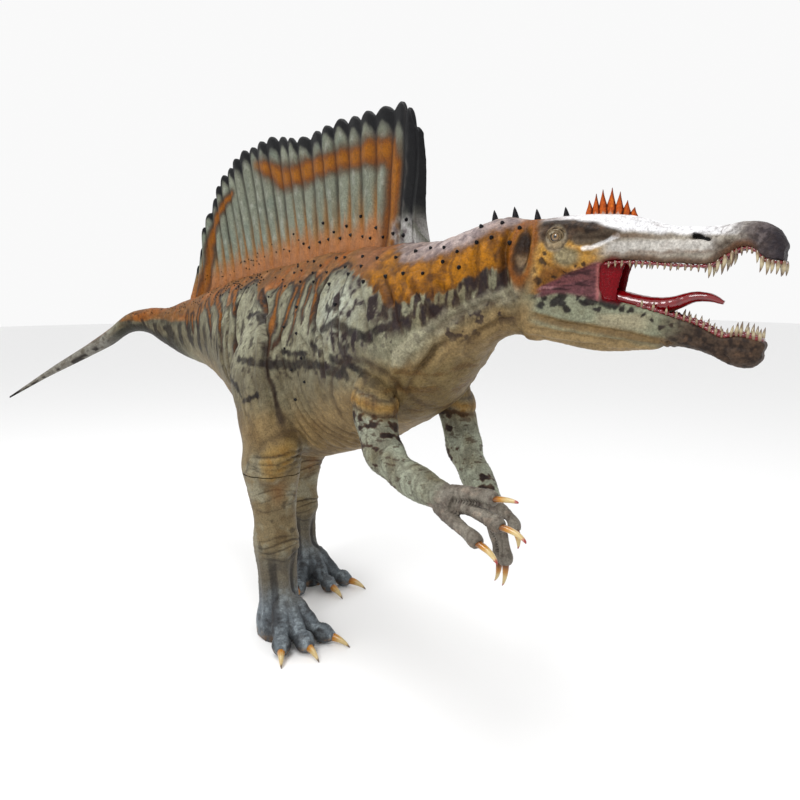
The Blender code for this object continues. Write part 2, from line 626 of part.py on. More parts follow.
def make_crest():
    """A fan of flame-shaped spikes, thickest at its foot, standing on the skull."""
    outline = [(CREST_FRONT, smooth(SKULL_HEIGHT, CREST_FRONT) - CREST_ROOT)]
    tips = list(reversed(CREST_TIPS))
    for tip, following in zip(tips, tips[1:]):
        outline.append(tip)
        outline.append(((tip[0] + following[0]) / 2, (tip[1] + following[1]) / 2 - CREST_VALLEY))
    outline.append(tips[-1])
    outline.append((CREST_REAR, smooth(SKULL_HEIGHT, CREST_REAR) - CREST_ROOT))
    shape = bmesh.new()
    sides = []
    for sign in (1, -1):
        corners = []
        for along, height in outline:
            lift = min(max((height - CREST_FOOT_HEIGHT) / CREST_RISE, 0), 1)
            thick = CREST_HALF_THICKNESS * (1 - (1 - CREST_TIP_THICKNESS) * lift)
            corners.append(shape.verts.new(on_spine(along, sign * thick, height)))
        sides.append(corners)
    shape.faces.new(sides[0])
    shape.faces.new(reversed(sides[1]))
    count = len(outline)
    for i in range(count):
        j = (i + 1) % count
        shape.faces.new((sides[0][j], sides[0][i], sides[1][i], sides[1][j]))
    bmesh.ops.triangulate(shape, faces=shape.faces)
    bmesh.ops.recalc_face_normals(shape, faces=shape.faces)
    mesh = bpy.data.meshes.new("head_crest")
    shape.to_mesh(mesh)
    shape.free()
    crest = add_object("head_crest", mesh, "crest")
    boolean(crest, loft("skull_under_crest", skull_rings(GAP), helper=True), "DIFFERENCE")


def sail_columns():
    """Ribs and the webs between them: points (along, half thickness, height), foot to rim."""
    columns = []
    count = 2 * len(RIB_TIPS) - 1
    for i in range(count):
        rib = i % 2 == 0
        foot_along = SAIL_FOOT[0] + (SAIL_FOOT[1] - SAIL_FOOT[0]) * i / (count - 1)
        foot = Vector((foot_along, smooth(BACK_HEIGHT, foot_along) - RIB_FOOT_DEPTH))
        rim = (Vector(RIB_TIPS[i // 2]) + Vector(RIB_TIPS[(i + 1) // 2])) / 2
        if not rib:
            rim -= (rim - foot).normalized() * SCALLOP_DEPTH
        column = []
        for share in SAIL_LEVELS:
            at = foot.lerp(rim, share)
            thick = SAIL_FOOT_HALF_THICKNESS
            thick += (SAIL_RIM_HALF_THICKNESS - SAIL_FOOT_HALF_THICKNESS) * share**SAIL_TAPER
            if not rib:
                thick -= RIB_RELIEF * min(1, WEB_RISE * share)
            column.append((at.x, thick, at.y))
        columns.append(column)
    return columns


def make_sail():
    """A ribbed plate, thinner towards its scalloped rim, cut to stand on the back."""
    columns = sail_columns()
    shape = bmesh.new()
    near, far = [
        [
            [shape.verts.new(on_spine(along, sign * thick, height)) for along, thick, height in column]
            for column in columns
        ]
        for sign in (1, -1)
    ]
    top = len(SAIL_LEVELS) - 1
    for grid in (near, far):
        for left, right in zip(grid, grid[1:]):
            for j in range(top):
                shape.faces.new((left[j], left[j + 1], right[j + 1], right[j]))
    for i in range(len(columns) - 1):
        for j in (0, top):
            shape.faces.new((near[i][j], near[i + 1][j], far[i + 1][j], far[i][j]))
    for i in (0, -1):
        for j in range(top):
            shape.faces.new((near[i][j], near[i][j + 1], far[i][j + 1], far[i][j]))
    bmesh.ops.triangulate(shape, faces=shape.faces, quad_method="FIXED")
    bmesh.ops.recalc_face_normals(shape, faces=shape.faces)
    mesh = bpy.data.meshes.new("sail")
    shape.to_mesh(mesh)
    shape.free()
    sail = add_object("sail", mesh, "sail_skin")
    boolean(sail, loft("torso_under_sail", torso_rings(GAP), helper=True), "DIFFERENCE")
    boolean(sail, loft("tail_under_sail", tail_rings(GAP), helper=True), "DIFFERENCE")


def leg_rings(stations, grow=0.0):
    """Level rings down the leg, from inside the hip to the sole."""
    rings = []
    for station in stations:
        lift = grow if station is stations[0] else 0
        ring = []
        for side in range(LEG_SIDES):
            angle = 2 * math.pi * (side + 0.5) / LEG_SIDES
            ring.append(Vector((
                station.x + (station.half_length + grow) * power(math.cos(angle), LEG_ROUNDNESS),
                station.y + (station.half_width + grow) * power(math.sin(angle), LEG_ROUNDNESS),
                station.height + lift,
            )))
        rings.append(ring)
    return rings


def toe_rings(shin, ahead, grow=0.0):
    """Rings down one toe, flat where they meet the ground."""
    centres = [shin + ahead * out + Vector((0, 0, height)) for out, height, _, _ in TOE_STATIONS]
    centres[-1] += ahead * grow
    sizes = [(wide + grow, high + grow) for _, _, wide, high in TOE_STATIONS]
    rings = rings_across(centres, sizes, TOE_SIDES)
    for ring in rings:
        for point in ring:
            point.z = max(point.z, 0.0)
    return rings


def make_foot(leg, side, foot):
    """Three toes fused to the leg, each ending in a claw of its own."""
    shin = Vector((foot.x, foot.y, 0))
    for number, spread in enumerate(foot.spreads, 1):
        angle = math.radians(foot.heading + spread)
        ahead = Vector((math.cos(angle), math.sin(angle), 0))
        boolean(leg, loft(f"{side}_toe_{number}", toe_rings(shin, ahead), helper=True), "UNION")
        claw = make_toe_claw(f"{side}_foot_claw_{number}", shin, ahead)
        room = loft(f"{side}_toe_{number}_room", toe_rings(shin, ahead, GAP), helper=True)
        boolean(claw, room, "DIFFERENCE")


def make_toe_claw(name, shin, ahead):
    """A claw that curves down from the toe to the ground."""
    reach, height, _, _ = TOE_STATIONS[-1]
    root = shin + ahead * (reach - TOE_CLAW_ROOT) + Vector((0, 0, height))
    centres = [
        root + ahead * TOE_CLAW_LENGTH * share - Vector((0, 0, drop))
        for share, drop, _ in TOE_CLAW_SHAPE
    ]
    sizes = [radius for _, _, radius in TOE_CLAW_SHAPE]
    return loft(name, rings_across(centres, sizes, CLAW_SIDES), "claw")


def make_leg(side, stations, foot):
    leg = loft(f"{side}_leg", leg_rings(stations), "limb_skin")
    make_foot(leg, side, foot)


def arm_rings(points, grow=0.0):
    centres = [Vector(point[:3]) for point in points]
    centres[0] -= (centres[1] - centres[0]).normalized() * grow
    return rings_across(centres, [point.radius + grow for point in points], ARM_SIDES, up=SIDEWAYS)


def finger_rings(joints, grow=0.0):
    centres = [Vector(joint) for joint in joints]
    centres[-1] += (centres[-1] - centres[-2]).normalized() * grow
    return rings_across(centres, [radius + grow for radius in FINGER_RADII], FINGER_SIDES, up=SIDEWAYS)


def make_arm(side, points, fingers, claw_tips):
    """An arm with three fingers fused to it, each ending in a claw of its own."""
    arm = loft(f"{side}_arm", arm_rings(points), "limb_skin")
    for number, (joints, tip) in enumerate(zip(fingers, claw_tips), 1):
        boolean(arm, loft(f"{side}_finger_{number}", finger_rings(joints), helper=True), "UNION")
        claw = make_finger_claw(f"{side}_hand_claw_{number}", joints, Vector(tip))
        room = loft(f"{side}_finger_{number}_room", finger_rings(joints, GAP), helper=True)
        boolean(claw, room, "DIFFERENCE")


def make_finger_claw(name, joints, tip):
    """A claw that leaves the finger straight and hooks towards its tip."""
    root = Vector(joints[-1])
    ahead = (root - Vector(joints[-2])).normalized()
    reach = (tip - root).length
    root -= ahead * FINGER_CLAW_ROOT
    centres = [
        (root + ahead * reach * FINGER_CLAW_LEAD * share).lerp(tip, share**FINGER_CLAW_HOOK)
        for share, _ in FINGER_CLAW_SHAPE
    ]
    sizes = [FINGER_CLAW_RADIUS * thick for _, thick in FINGER_CLAW_SHAPE]
    return loft(name, rings_across(centres, sizes, CLAW_SIDES, up=SIDEWAYS), "claw")


def clear_scene():
    for old in list(bpy.data.objects):
        bpy.data.objects.remove(old)


def add_root():
    root = bpy.data.objects.new("hip_line_foot", None)
    root.location = HIP_FROM_ORIGIN
    collection(MODEL_NAME).objects.link(root)


def main():
    clear_scene()
    add_root()
    make_torso()
    make_neck()
    make_tail()
    make_head()
    make_lower_jaw()
    make_tongue()
    make_all_teeth()
    make_crest()
    make_sail()
    make_leg("right", RIGHT_LEG, RIGHT_FOOT)
    make_leg("left", LEFT_LEG, LEFT_FOOT)
    make_arm("right", RIGHT_ARM, RIGHT_FINGERS, RIGHT_CLAW_TIPS)
    make_arm("left", LEFT_ARM, LEFT_FINGERS, LEFT_CLAW_TIPS)


main()
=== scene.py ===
# Spinosaurus display model: the sculpted, painted skin, sail, teeth, claws and studs around its solids.
# Metres. Places on the body are (along the spine from the hip, height), with the head at +.
import math
from collections import namedtuple

import bpy
import numpy as np
from bpy.props import FloatProperty, FloatVectorProperty, PointerProperty
from bpy.types import Operator, Panel, PropertyGroup
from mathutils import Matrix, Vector
from mathutils.bvhtree import BVHTree


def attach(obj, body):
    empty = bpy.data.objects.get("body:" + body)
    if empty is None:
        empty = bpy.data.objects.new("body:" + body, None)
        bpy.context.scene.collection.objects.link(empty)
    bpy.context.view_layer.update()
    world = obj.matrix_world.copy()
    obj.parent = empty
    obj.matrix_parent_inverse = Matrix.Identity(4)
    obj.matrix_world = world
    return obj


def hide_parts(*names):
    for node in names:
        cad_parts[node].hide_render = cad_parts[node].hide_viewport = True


bl_info = {
    "name": "Spinosaurus model",
    "version": (1, 0, 0),
    "blender": (4, 5, 0),
    "location": "View3D > Sidebar > Spinosaurus",
    "description": "Builds a painted spinosaurus display model piece by piece",
    "category": "Add Mesh",
}

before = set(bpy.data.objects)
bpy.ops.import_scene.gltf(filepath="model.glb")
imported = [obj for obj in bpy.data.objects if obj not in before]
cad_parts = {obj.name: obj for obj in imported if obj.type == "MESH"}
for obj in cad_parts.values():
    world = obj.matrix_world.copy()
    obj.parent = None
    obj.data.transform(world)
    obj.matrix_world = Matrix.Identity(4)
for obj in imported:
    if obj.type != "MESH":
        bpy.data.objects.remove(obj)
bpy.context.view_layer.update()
HIP = np.array((0.19, 0.27, 0.0))      # the hip line's foot in the frame

# The spine seen from above, and the outlines over it, as in the solids.
SPINE_FROM_ABOVE = (
    (-2.66, -1.40), (-2.50, -1.00), (-2.25, -0.66), (-1.95, -0.40), (-1.60, -0.20),
    (-1.25, -0.08), (-0.90, -0.02), (-0.50, 0.0), (0.0, 0.0), (0.40, 0.0),
    (0.90, 0.0), (1.10, 0.03), (1.28, 0.085), (1.70, 0.25), (2.15, 0.44), (2.40, 0.545),
)
TAIL_TIP, TAIL_ROOT, NECK_ROOT, NECK_END, SNOUT_TIP, JAW_TIP = -2.84, -0.75, 0.95, 1.44, 2.195, 2.146
BACK_HEIGHT = (
    (-2.84, 0.892), (-2.55, 1.083), (-2.26, 1.253), (-2.08, 1.36), (-1.93, 1.453),
    (-1.76, 1.487), (-1.60, 1.49), (-1.42, 1.54), (-1.09, 1.616), (-0.86, 1.661),
    (-0.50, 1.71), (-0.16, 1.747), (0.23, 1.783), (0.72, 1.80), (1.00, 1.80),
    (1.12, 1.833), (1.21, 1.864), (1.29, 1.878), (1.37, 1.866), (1.50, 1.866),
)
BELLY_HEIGHT = (
    (-2.84, 0.880), (-2.56, 1.029), (-2.26, 1.167), (-2.10, 1.24), (-1.94, 1.325),
    (-1.77, 1.33), (-1.60, 1.259), (-1.42, 1.194), (-1.17, 1.15), (-0.90, 1.06),
    (-0.60, 0.93), (-0.30, 0.83), (-0.05, 0.80), (0.12, 0.829), (0.48, 0.929),
    (0.72, 1.035), (0.92, 1.13), (1.03, 1.205), (1.12, 1.31), (1.20, 1.405),
    (1.30, 1.468), (1.44, 1.456),
)
BODY_HALF_WIDTH = (
    (-2.84, 0.006), (-2.56, 0.026), (-2.26, 0.045), (-1.94, 0.068), (-1.60, 0.10),
    (-1.20, 0.15), (-0.90, 0.195), (-0.50, 0.25), (-0.20, 0.27), (0.10, 0.27), (0.40, 0.265),
    (0.70, 0.27), (0.85, 0.265), (0.98, 0.245), (1.08, 0.205), (1.16, 0.162), (1.23, 0.135),
    (1.32, 0.116), (1.44, 0.108),
)
WIDEST_SHARE = (
    (-2.84, 0.5), (-1.60, 0.5), (-0.80, 0.46), (0.0, 0.42), (0.90, 0.42), (1.15, 0.5), (1.44, 0.5),
)
SKULL_HEIGHT = (
    (1.44, 1.864), (1.61, 1.869), (1.70, 1.864), (1.77, 1.849), (1.84, 1.828),
    (1.93, 1.817), (1.99, 1.82), (2.06, 1.829), (2.11, 1.826), (2.14, 1.816),
    (2.165, 1.797), (2.185, 1.762), (2.195, 1.728),
)
UPPER_LIP_HEIGHT = (
    (1.44, 1.618), (1.50, 1.645), (1.55, 1.668), (1.62, 1.695), (1.69, 1.712), (1.80, 1.709),
    (1.88, 1.702), (1.97, 1.70), (2.00, 1.716), (2.03, 1.734), (2.057, 1.748),
    (2.085, 1.75), (2.108, 1.738), (2.13, 1.714), (2.195, 1.704),
)
SKULL_HALF_WIDTH = (
    (1.44, 0.108), (1.52, 0.108), (1.60, 0.098), (1.70, 0.074), (1.80, 0.056),
    (1.90, 0.048), (2.00, 0.044), (2.06, 0.048), (2.11, 0.056), (2.155, 0.052),
    (2.18, 0.036), (2.195, 0.018),
)
LOWER_LIP_HEIGHT = (
    (1.44, 1.604), (1.50, 1.619), (1.57, 1.62), (1.64, 1.604), (1.71, 1.592),
    (1.76, 1.58), (1.82, 1.562), (1.89, 1.541), (1.95, 1.521), (1.993, 1.498),
    (2.023, 1.487), (2.066, 1.494), (2.109, 1.484), (2.146, 1.470),
)
THROAT_HEIGHT = (
    (1.44, 1.454), (1.52, 1.438), (1.60, 1.428), (1.66, 1.424), (1.73, 1.428),
    (1.80, 1.438), (1.86, 1.451), (1.92, 1.443), (1.98, 1.427), (2.027, 1.407),
    (2.071, 1.391), (2.11, 1.394), (2.135, 1.419), (2.146, 1.452),
)
JAW_HALF_WIDTH = (
    (1.44, 0.104), (1.55, 0.094), (1.70, 0.068), (1.80, 0.053), (1.90, 0.045),
    (2.00, 0.040), (2.06, 0.045), (2.10, 0.048), (2.13, 0.036), (2.146, 0.016),
)
RIB_TIPS = (
    (0.86, 2.22), (0.805, 2.31), (0.73, 2.35), (0.61, 2.352), (0.485, 2.354), (0.36, 2.354),
    (0.25, 2.36), (0.13, 2.348), (0.02, 2.342), (-0.11, 2.335), (-0.22, 2.345), (-0.33, 2.366),
    (-0.45, 2.382), (-0.565, 2.373), (-0.685, 2.36), (-0.78, 2.355), (-0.875, 2.318),
    (-0.95, 2.278), (-1.02, 2.245), (-1.075, 2.185), (-1.125, 2.12), (-1.195, 2.035),
    (-1.235, 1.955), (-1.27, 1.83), (-1.30, 1.74),
)
SAIL_FOOT = (0.90, -1.37)
SAIL_FOOT_THICKNESS, SAIL_RIM_THICKNESS = 0.040, 0.012         # half of it, at a rib

# Legs: height, x, y, half length, half width. Feet, toes, arms and fingers as in the solids.
RIGHT_LEG = (
    (1.50, -0.08, -0.17, 0.16, 0.08), (1.36, -0.08, -0.205, 0.22, 0.12),
    (1.18, -0.06, -0.235, 0.235, 0.145), (1.02, -0.01, -0.25, 0.205, 0.138),
    (0.90, 0.04, -0.262, 0.158, 0.130), (0.80, 0.07, -0.28, 0.135, 0.132),
    (0.68, 0.07, -0.275, 0.115, 0.117), (0.54, 0.06, -0.265, 0.102, 0.102),
    (0.40, 0.05, -0.265, 0.098, 0.100), (0.28, 0.06, -0.262, 0.090, 0.086),
    (0.16, 0.07, -0.260, 0.098, 0.088), (0.07, 0.09, -0.262, 0.125, 0.108),
    (0.0, 0.10, -0.265, 0.125, 0.110),
)
LEFT_LEG = (
    (1.50, -0.10, 0.16, 0.16, 0.08), (1.36, -0.11, 0.19, 0.22, 0.12),
    (1.18, -0.15, 0.21, 0.225, 0.140), (1.02, -0.21, 0.20, 0.190, 0.130),
    (0.90, -0.28, 0.17, 0.150, 0.112), (0.80, -0.34, 0.15, 0.126, 0.100),
    (0.68, -0.40, 0.14, 0.110, 0.092), (0.54, -0.45, 0.137, 0.098, 0.087),
    (0.40, -0.48, 0.137, 0.092, 0.085), (0.28, -0.49, 0.14, 0.086, 0.080),
    (0.16, -0.49, 0.15, 0.096, 0.086), (0.07, -0.475, 0.16, 0.122, 0.102),
    (0.0, -0.465, 0.16, 0.122, 0.104),
)
Foot = namedtuple("Foot", "x y heading spreads")
RIGHT_FOOT = Foot(0.10, -0.265, 0.0, (-26.0, 0.0, 30.0))
LEFT_FOOT = Foot(-0.47, 0.17, 4.0, (-42.0, -2.0, 26.0))
LEGS = (("right", RIGHT_LEG, RIGHT_FOOT, -1), ("left", LEFT_LEG, LEFT_FOOT, 1))
TOE_STATIONS = (
    (0.00, 0.200, 0.042, 0.050), (0.08, 0.150, 0.042, 0.050), (0.145, 0.085, 0.041, 0.045),
    (0.195, 0.052, 0.038, 0.043), (0.24, 0.044, 0.041, 0.044), (0.275, 0.040, 0.033, 0.034),
    (0.288, 0.038, 0.022, 0.024),
)
TOE_LENGTH, TOE_CLAW_LENGTH, TOE_CLAW_HEIGHT = 0.292, 0.115, 0.036
TOE_CLAW_SHAPE = (
    (0.0, 0.0, 0.020), (0.3, 0.001, 0.018), (0.6, 0.009, 0.013), (0.85, 0.022, 0.007),
    (1.0, 0.034, 0.0015),
)
RIGHT_ARM = (
    (0.80, -0.15, 1.30, 0.09), (0.87, -0.22, 1.21, 0.09), (0.92, -0.24, 1.11, 0.078),
    (0.985, -0.25, 1.02, 0.069), (1.075, -0.245, 0.973, 0.063), (1.18, -0.225, 0.94, 0.058),
    (1.28, -0.205, 0.918, 0.050), (1.345, -0.195, 0.905, 0.040),
)
LEFT_ARM = (
    (0.79, 0.14, 1.28, 0.09), (0.82, 0.195, 1.17, 0.084), (0.85, 0.205, 1.08, 0.074),
    (0.885, 0.205, 0.98, 0.070), (0.94, 0.20, 0.91, 0.064), (1.02, 0.19, 0.84, 0.056),
    (1.09, 0.18, 0.78, 0.050), (1.13, 0.17, 0.74, 0.042),
)
FINGER_RADII = (0.030, 0.026, 0.026, 0.020)
RIGHT_FINGERS = (
    ((1.31, -0.19, 0.935), (1.39, -0.175, 0.945), (1.455, -0.165, 0.952), (1.50, -0.155, 0.947)),
    ((1.32, -0.19, 0.90), (1.42, -0.18, 0.895), (1.51, -0.175, 0.88), (1.55, -0.17, 0.868)),
    ((1.28, -0.215, 0.885), (1.36, -0.22, 0.855), (1.45, -0.22, 0.828), (1.495, -0.22, 0.807)),
)
LEFT_FINGERS = (
    ((1.10, 0.17, 0.785), (1.18, 0.165, 0.78), (1.24, 0.157, 0.758), (1.265, 0.15, 0.728)),
    ((1.12, 0.18, 0.73), (1.16, 0.178, 0.67), (1.19, 0.17, 0.61), (1.195, 0.165, 0.575)),
    ((1.09, 0.185, 0.72), (1.11, 0.19, 0.65), (1.135, 0.185, 0.60), (1.14, 0.18, 0.565)),
)
RIGHT_CLAW_TIPS = ((1.595, -0.14, 0.955), (1.66, -0.165, 0.843), (1.595, -0.225, 0.768))
LEFT_CLAW_TIPS = ((1.285, 0.145, 0.665), (1.19, 0.155, 0.49), (1.115, 0.18, 0.482))
FINGER_CLAW_RADIUS = 0.0135
ARMS = (
    ("right", RIGHT_ARM, RIGHT_FINGERS, RIGHT_CLAW_TIPS), ("left", LEFT_ARM, LEFT_FINGERS, LEFT_CLAW_TIPS),
)
EYE = (1.503, 0.086, 1.795)            # along, to the side, height
EYE_RADIUS = 0.021
CREST_REAR, CREST_FRONT = 1.565, 1.742
CREST_TIPS = (
    (1.577, 1.915), (1.60, 1.935), (1.622, 1.947), (1.653, 1.951),
    (1.68, 1.937), (1.705, 1.909), (1.729, 1.886),
)
TONGUE_POINTS = (
    (1.60, 1.622, 0.034, 0.014), (1.70, 1.607, 0.034, 0.015), (1.80, 1.598, 0.030, 0.014),
    (1.87, 1.600, 0.026, 0.012), (1.93, 1.612, 0.022, 0.010), (1.98, 1.606, 0.016, 0.008),
    (2.015, 1.592, 0.006, 0.004),
)
TOP_SPIKES = (1.23, 1.31, 1.395, 1.50)
BODY_VOXEL, HEAD_VOXEL, ARM_VOXEL = 0.0082, 0.004, 0.004
GUM_INSET = 0.010                      # the tooth row behind the jaw's side
# Teeth: first and last place along a jaw, how many a side, share of the longest, how far they flare.
UPPER_TEETH = (
    (1.675, 1.945, 14, 0.40, 1.06), (1.975, 2.035, 4, 1.0, 1.12),
    (2.05, 2.095, 4, 0.35, 1.06), (2.108, 2.178, 6, 0.95, 1.12),
)
LOWER_TEETH = ((1.775, 1.855, 3, 0.55, 1.08), (1.885, 2.02, 8, 0.48, 1.16), (2.045, 2.124, 6, 0.80, 1.16))
LEG_TOP = 1.5                          # where the legs' tubes end inside the trunk
LEG_CUT_HEIGHT = 0.78                  # the thigh is skinned with the trunk, the rest is the leg's


def srgb(red, green, blue):
    """A colour as seen on screen, 0 to 255, as linear light."""
    return tuple((c / 255 / 12.92) if c < 10 else ((c / 255 + 0.055) / 1.055) ** 2.4
                 for c in (red, green, blue))


def smooth(knots, at):
    """Values on the smooth curve through (place, value) knots."""
    places, values = np.array(knots, float).T
    at = np.clip(at, places[0], places[-1])
    low = np.clip(np.searchsorted(places, at, side="right") - 1, 0, len(places) - 2)
    index, last = np.arange(len(places)), len(places) - 1
    before, after = np.maximum(index - 1, 0), np.minimum(index + 1, last)
    slopes = (values[after] - values[before]) / (places[after] - places[before])
    span = places[low + 1] - places[low]
    t = (at - places[low]) / span
    return (
        (2 * t**3 - 3 * t**2 + 1) * values[low] + (t**3 - 2 * t**2 + t) * span * slopes[low]
        + (3 * t**2 - 2 * t**3) * values[low + 1] + (t**3 - t**2) * span * slopes[low + 1]
    )


def rounded_path(points, steps):
    """Points on a Catmull-Rom curve through the given ones."""
    points = np.array(points, float)
    ends = np.vstack([2 * points[0] - points[1], points, 2 * points[-1] - points[-2]])
    t = (np.arange(steps) / steps)[:, None]
    parts = [
        0.5 * (2 * b + (c - a) * t + (2 * a - 5 * b + 4 * c - d) * t**2 + (3 * b - a - 3 * c + d) * t**3)
        for a, b, c, d in zip(ends, ends[1:], ends[2:], ends[3:])
    ]
    return np.vstack([*parts, points[-1:]])


SPINE_PATH = rounded_path(SPINE_FROM_ABOVE, 12)
SPINE_ALONG = np.concatenate([[0], np.cumsum(np.linalg.norm(np.diff(SPINE_PATH, axis=0), axis=1))])
SPINE_ALONG -= SPINE_ALONG[np.argmin(np.linalg.norm(SPINE_PATH, axis=1))]


def spine_at(along):
    """The spine's place on the ground plan."""
    return np.stack([np.interp(along, SPINE_ALONG, SPINE_PATH[:, i]) for i in (0, 1)], -1)


def spine_heading(along):
    """The spine's direction on the ground plan, towards the head."""
    ahead = spine_at(along + 0.02) - spine_at(along - 0.02)
    return ahead / np.linalg.norm(ahead, axis=-1, keepdims=True)


def bent(points):
    """Points given as (along, side, height), placed on the curved spine in the frame."""
    points = np.asarray(points, float)
    ahead = spine_heading(points[..., 0])
    flat = spine_at(points[..., 0]) + np.stack([-ahead[..., 1], ahead[..., 0]], -1) * points[..., 1:2]
    return np.concatenate([flat, points[..., 2:]], -1) + HIP


def straightened(points):
    """Frame points as (along, side, height)."""
    flat = points[:, :2] - HIP[:2]
    along = np.interp(flat[:, 0], SPINE_PATH[:, 0], SPINE_ALONG)
    for _ in range(12):
        along = along + 0.8 * ((flat - spine_at(along)) * spine_heading(along)).sum(1)
    off, ahead = flat - spine_at(along), spine_heading(along)
    return np.stack([along, off[:, 1] * ahead[:, 0] - off[:, 0] * ahead[:, 1], points[:, 2]], 1)


def power(value, exponent):
    """A power that keeps the sign."""
    return np.sign(value) * np.abs(value) ** exponent


def step(low, high, value):
    """0 below low, 1 above high, smooth between. It falls instead where low is above high."""
    t = np.clip((value - low) / (high - low), 0, 1)
    return t * t * (3 - 2 * t)


def bump(value, width):
    """1 at 0, falling off over this width."""
    return np.exp(-((value / width) ** 2))


def scatter(cells):
    """A fixed random value from -1 to 1 for each whole-numbered cell."""
    x, y, z = (cells[:, i].astype(np.uint32) for i in range(3))
    mixed = x * np.uint32(374761393) + y * np.uint32(668265263) + z * np.uint32(2246822519)
    mixed = (mixed ^ (mixed >> np.uint32(13))) * np.uint32(1274126177)
    return ((mixed ^ (mixed >> np.uint32(16))) & np.uint32(65535)).astype(float) / 32767.5 - 1


def noise(points, size, seed=0.0):
    """Smooth random values, about -1 to 1, that change over this size (one number or three)."""
    at = points / size + 31.7 * seed + 1000
    cell = np.floor(at).astype(np.int64)
    t = at - cell
    t = t * t * (3 - 2 * t)
    total = np.zeros(len(points))
    for corner in np.ndindex(2, 2, 2):
        weight = np.prod(np.where(np.array(corner) == 1, t, 1 - t), axis=1)
        total += weight * scatter(cell + np.array(corner))
    return total


def rough(points, size, octaves=3, seed=0.0):
    """Noise with finer and fainter noise added."""
    size = np.array(size, float)
    total = sum(noise(points, size / 2**i, seed + i) / 2**i for i in range(octaves))
    return total / (2 - 2.0 ** (1 - octaves))


def near(u, v, line):
    """How far places (u, v) are from a line through points, and how far down it they lie, 0 to 1."""
    line = np.array(line, float)
    best, share = np.full(len(u), 9.0), np.zeros(len(u))
    lengths = np.linalg.norm(np.diff(line, axis=0), axis=1)
    done = 0.0
    for a, b, length in zip(line, line[1:], lengths):
        run = (b - a) / length
        t = np.clip((u - a[0]) * run[0] + (v - a[1]) * run[1], 0, length)
        away = np.hypot(u - a[0] - run[0] * t, v - a[1] - run[1] * t)
        closer = away < best
        best = np.where(closer, away, best)
        share = np.where(closer, (done + t) / lengths.sum(), share)
        done += length
    return best, share


def select_none():
    """Leaves nothing selected."""
    bpy.ops.object.select_all(action="DESELECT")


def select_only(*objects):
    """Selects these and makes the first one active."""
    select_none()
    for each in objects:
        each.select_set(True)
    bpy.context.view_layer.objects.active = objects[0]


def points_of(piece):
    """Where each point of a piece is."""
    found = np.empty(len(piece.data.vertices) * 3, np.float32)
    piece.data.vertices.foreach_get("co", found)
    return found.reshape(-1, 3).astype(float)


def normals_of(piece):
    """Which way the skin faces at each point of a piece."""
    found = np.empty(len(piece.data.vertices) * 3, np.float32)
    piece.data.vertex_normals.foreach_get("vector", found)
    return found.reshape(-1, 3).astype(float)


def move_points(piece, points):
    """Puts each point of a piece in its new place."""
    piece.data.vertices.foreach_set("co", np.asarray(points, np.float32).ravel())
    piece.data.update()


def in_edit(piece, *steps):
    """Runs edit mode steps on all of a piece."""
    select_only(piece)
    bpy.ops.object.mode_set(mode="EDIT")
    bpy.ops.mesh.select_all(action="SELECT")
    for each in steps:
        each()
    bpy.ops.object.mode_set(mode="OBJECT")


def rolled(name, rings, **carried):
    """A grid rolled round an array of rings (ring, side, xyz), its seam merged and its ends capped.
    Carried values, one for each of its points, stay with it as attributes."""
    count, sides = rings.shape[:2]
    select_none()
    bpy.ops.mesh.primitive_grid_add(x_subdivisions=sides, y_subdivisions=count - 1, size=1)
    piece = bpy.context.active_object
    piece.name = piece.data.name = name
    move_points(piece, np.concatenate([rings, rings[:, :1]], 1).reshape(-1, 3))
    for key, values in carried.items():
        attribute(piece, key, np.concatenate([values, values[:, :1]], 1).ravel())
    in_edit(
        piece,
        lambda: bpy.ops.mesh.remove_doubles(threshold=1e-6),
        lambda: bpy.ops.mesh.fill_holes(sides=0),
        lambda: bpy.ops.mesh.normals_make_consistent(inside=False),
    )
    return piece


def joined(name, pieces):
    """One object made of all the pieces."""
    select_only(*pieces)
    if len(pieces) > 1:
        bpy.ops.object.join()
    whole = bpy.context.active_object
    whole.name = whole.data.name = name
    return whole


def modified(piece, kind, **settings):
    """Adds a modifier with these settings and applies it."""
    select_only(piece)
    bpy.ops.object.modifier_add(type=kind)
    change = piece.modifiers[-1]
    for key, value in settings.items():
        setattr(change, key, value)
    bpy.ops.object.modifier_apply(modifier=change.name)
    return piece


def fused(name, pieces, voxel, smoothing):
    """Pieces that overlap made one smooth skin."""
    whole = joined(name, pieces)
    modified(whole, "REMESH", mode="VOXEL", voxel_size=voxel, use_smooth_shade=True)
    if smoothing:
        modified(whole, "SMOOTH", factor=0.5, iterations=smoothing)
    return whole


def copy_of(piece, name):
    """A copy of a piece under a name of its own."""
    select_only(piece)
    bpy.ops.object.duplicate()
    made = bpy.context.active_object
    made.name = made.data.name = name
    return made


def cut(piece, place, normal):
    """Keeps what lies behind a plane, and closes the cut."""
    plane = {"plane_co": tuple(place), "plane_no": tuple(normal)}
    in_edit(
        piece,
        lambda: bpy.ops.mesh.bisect(use_fill=True, clear_outer=True, **plane),
        lambda: bpy.ops.mesh.mark_sharp(),
    )
    return piece


def cut_across_spine(piece, along, keep_front):
    """Cuts a piece square to the spine and keeps one end of it."""
    ahead = Vector((*spine_heading(np.array([along]))[0], 0))
    return cut(piece, bent([[along, 0, 0]])[0], -ahead if keep_front else ahead)


def keep_where(piece, keep):
    """Deletes the points where keep is false."""
    select_only(piece)
    bpy.ops.object.mode_set(mode="EDIT")
    bpy.ops.mesh.select_mode(type="VERT")
    bpy.ops.object.mode_set(mode="OBJECT")
    piece.data.vertices.foreach_set("select", ~keep)
    bpy.ops.object.mode_set(mode="EDIT")
    bpy.ops.mesh.delete(type="VERT")
    bpy.ops.object.mode_set(mode="OBJECT")
    return piece


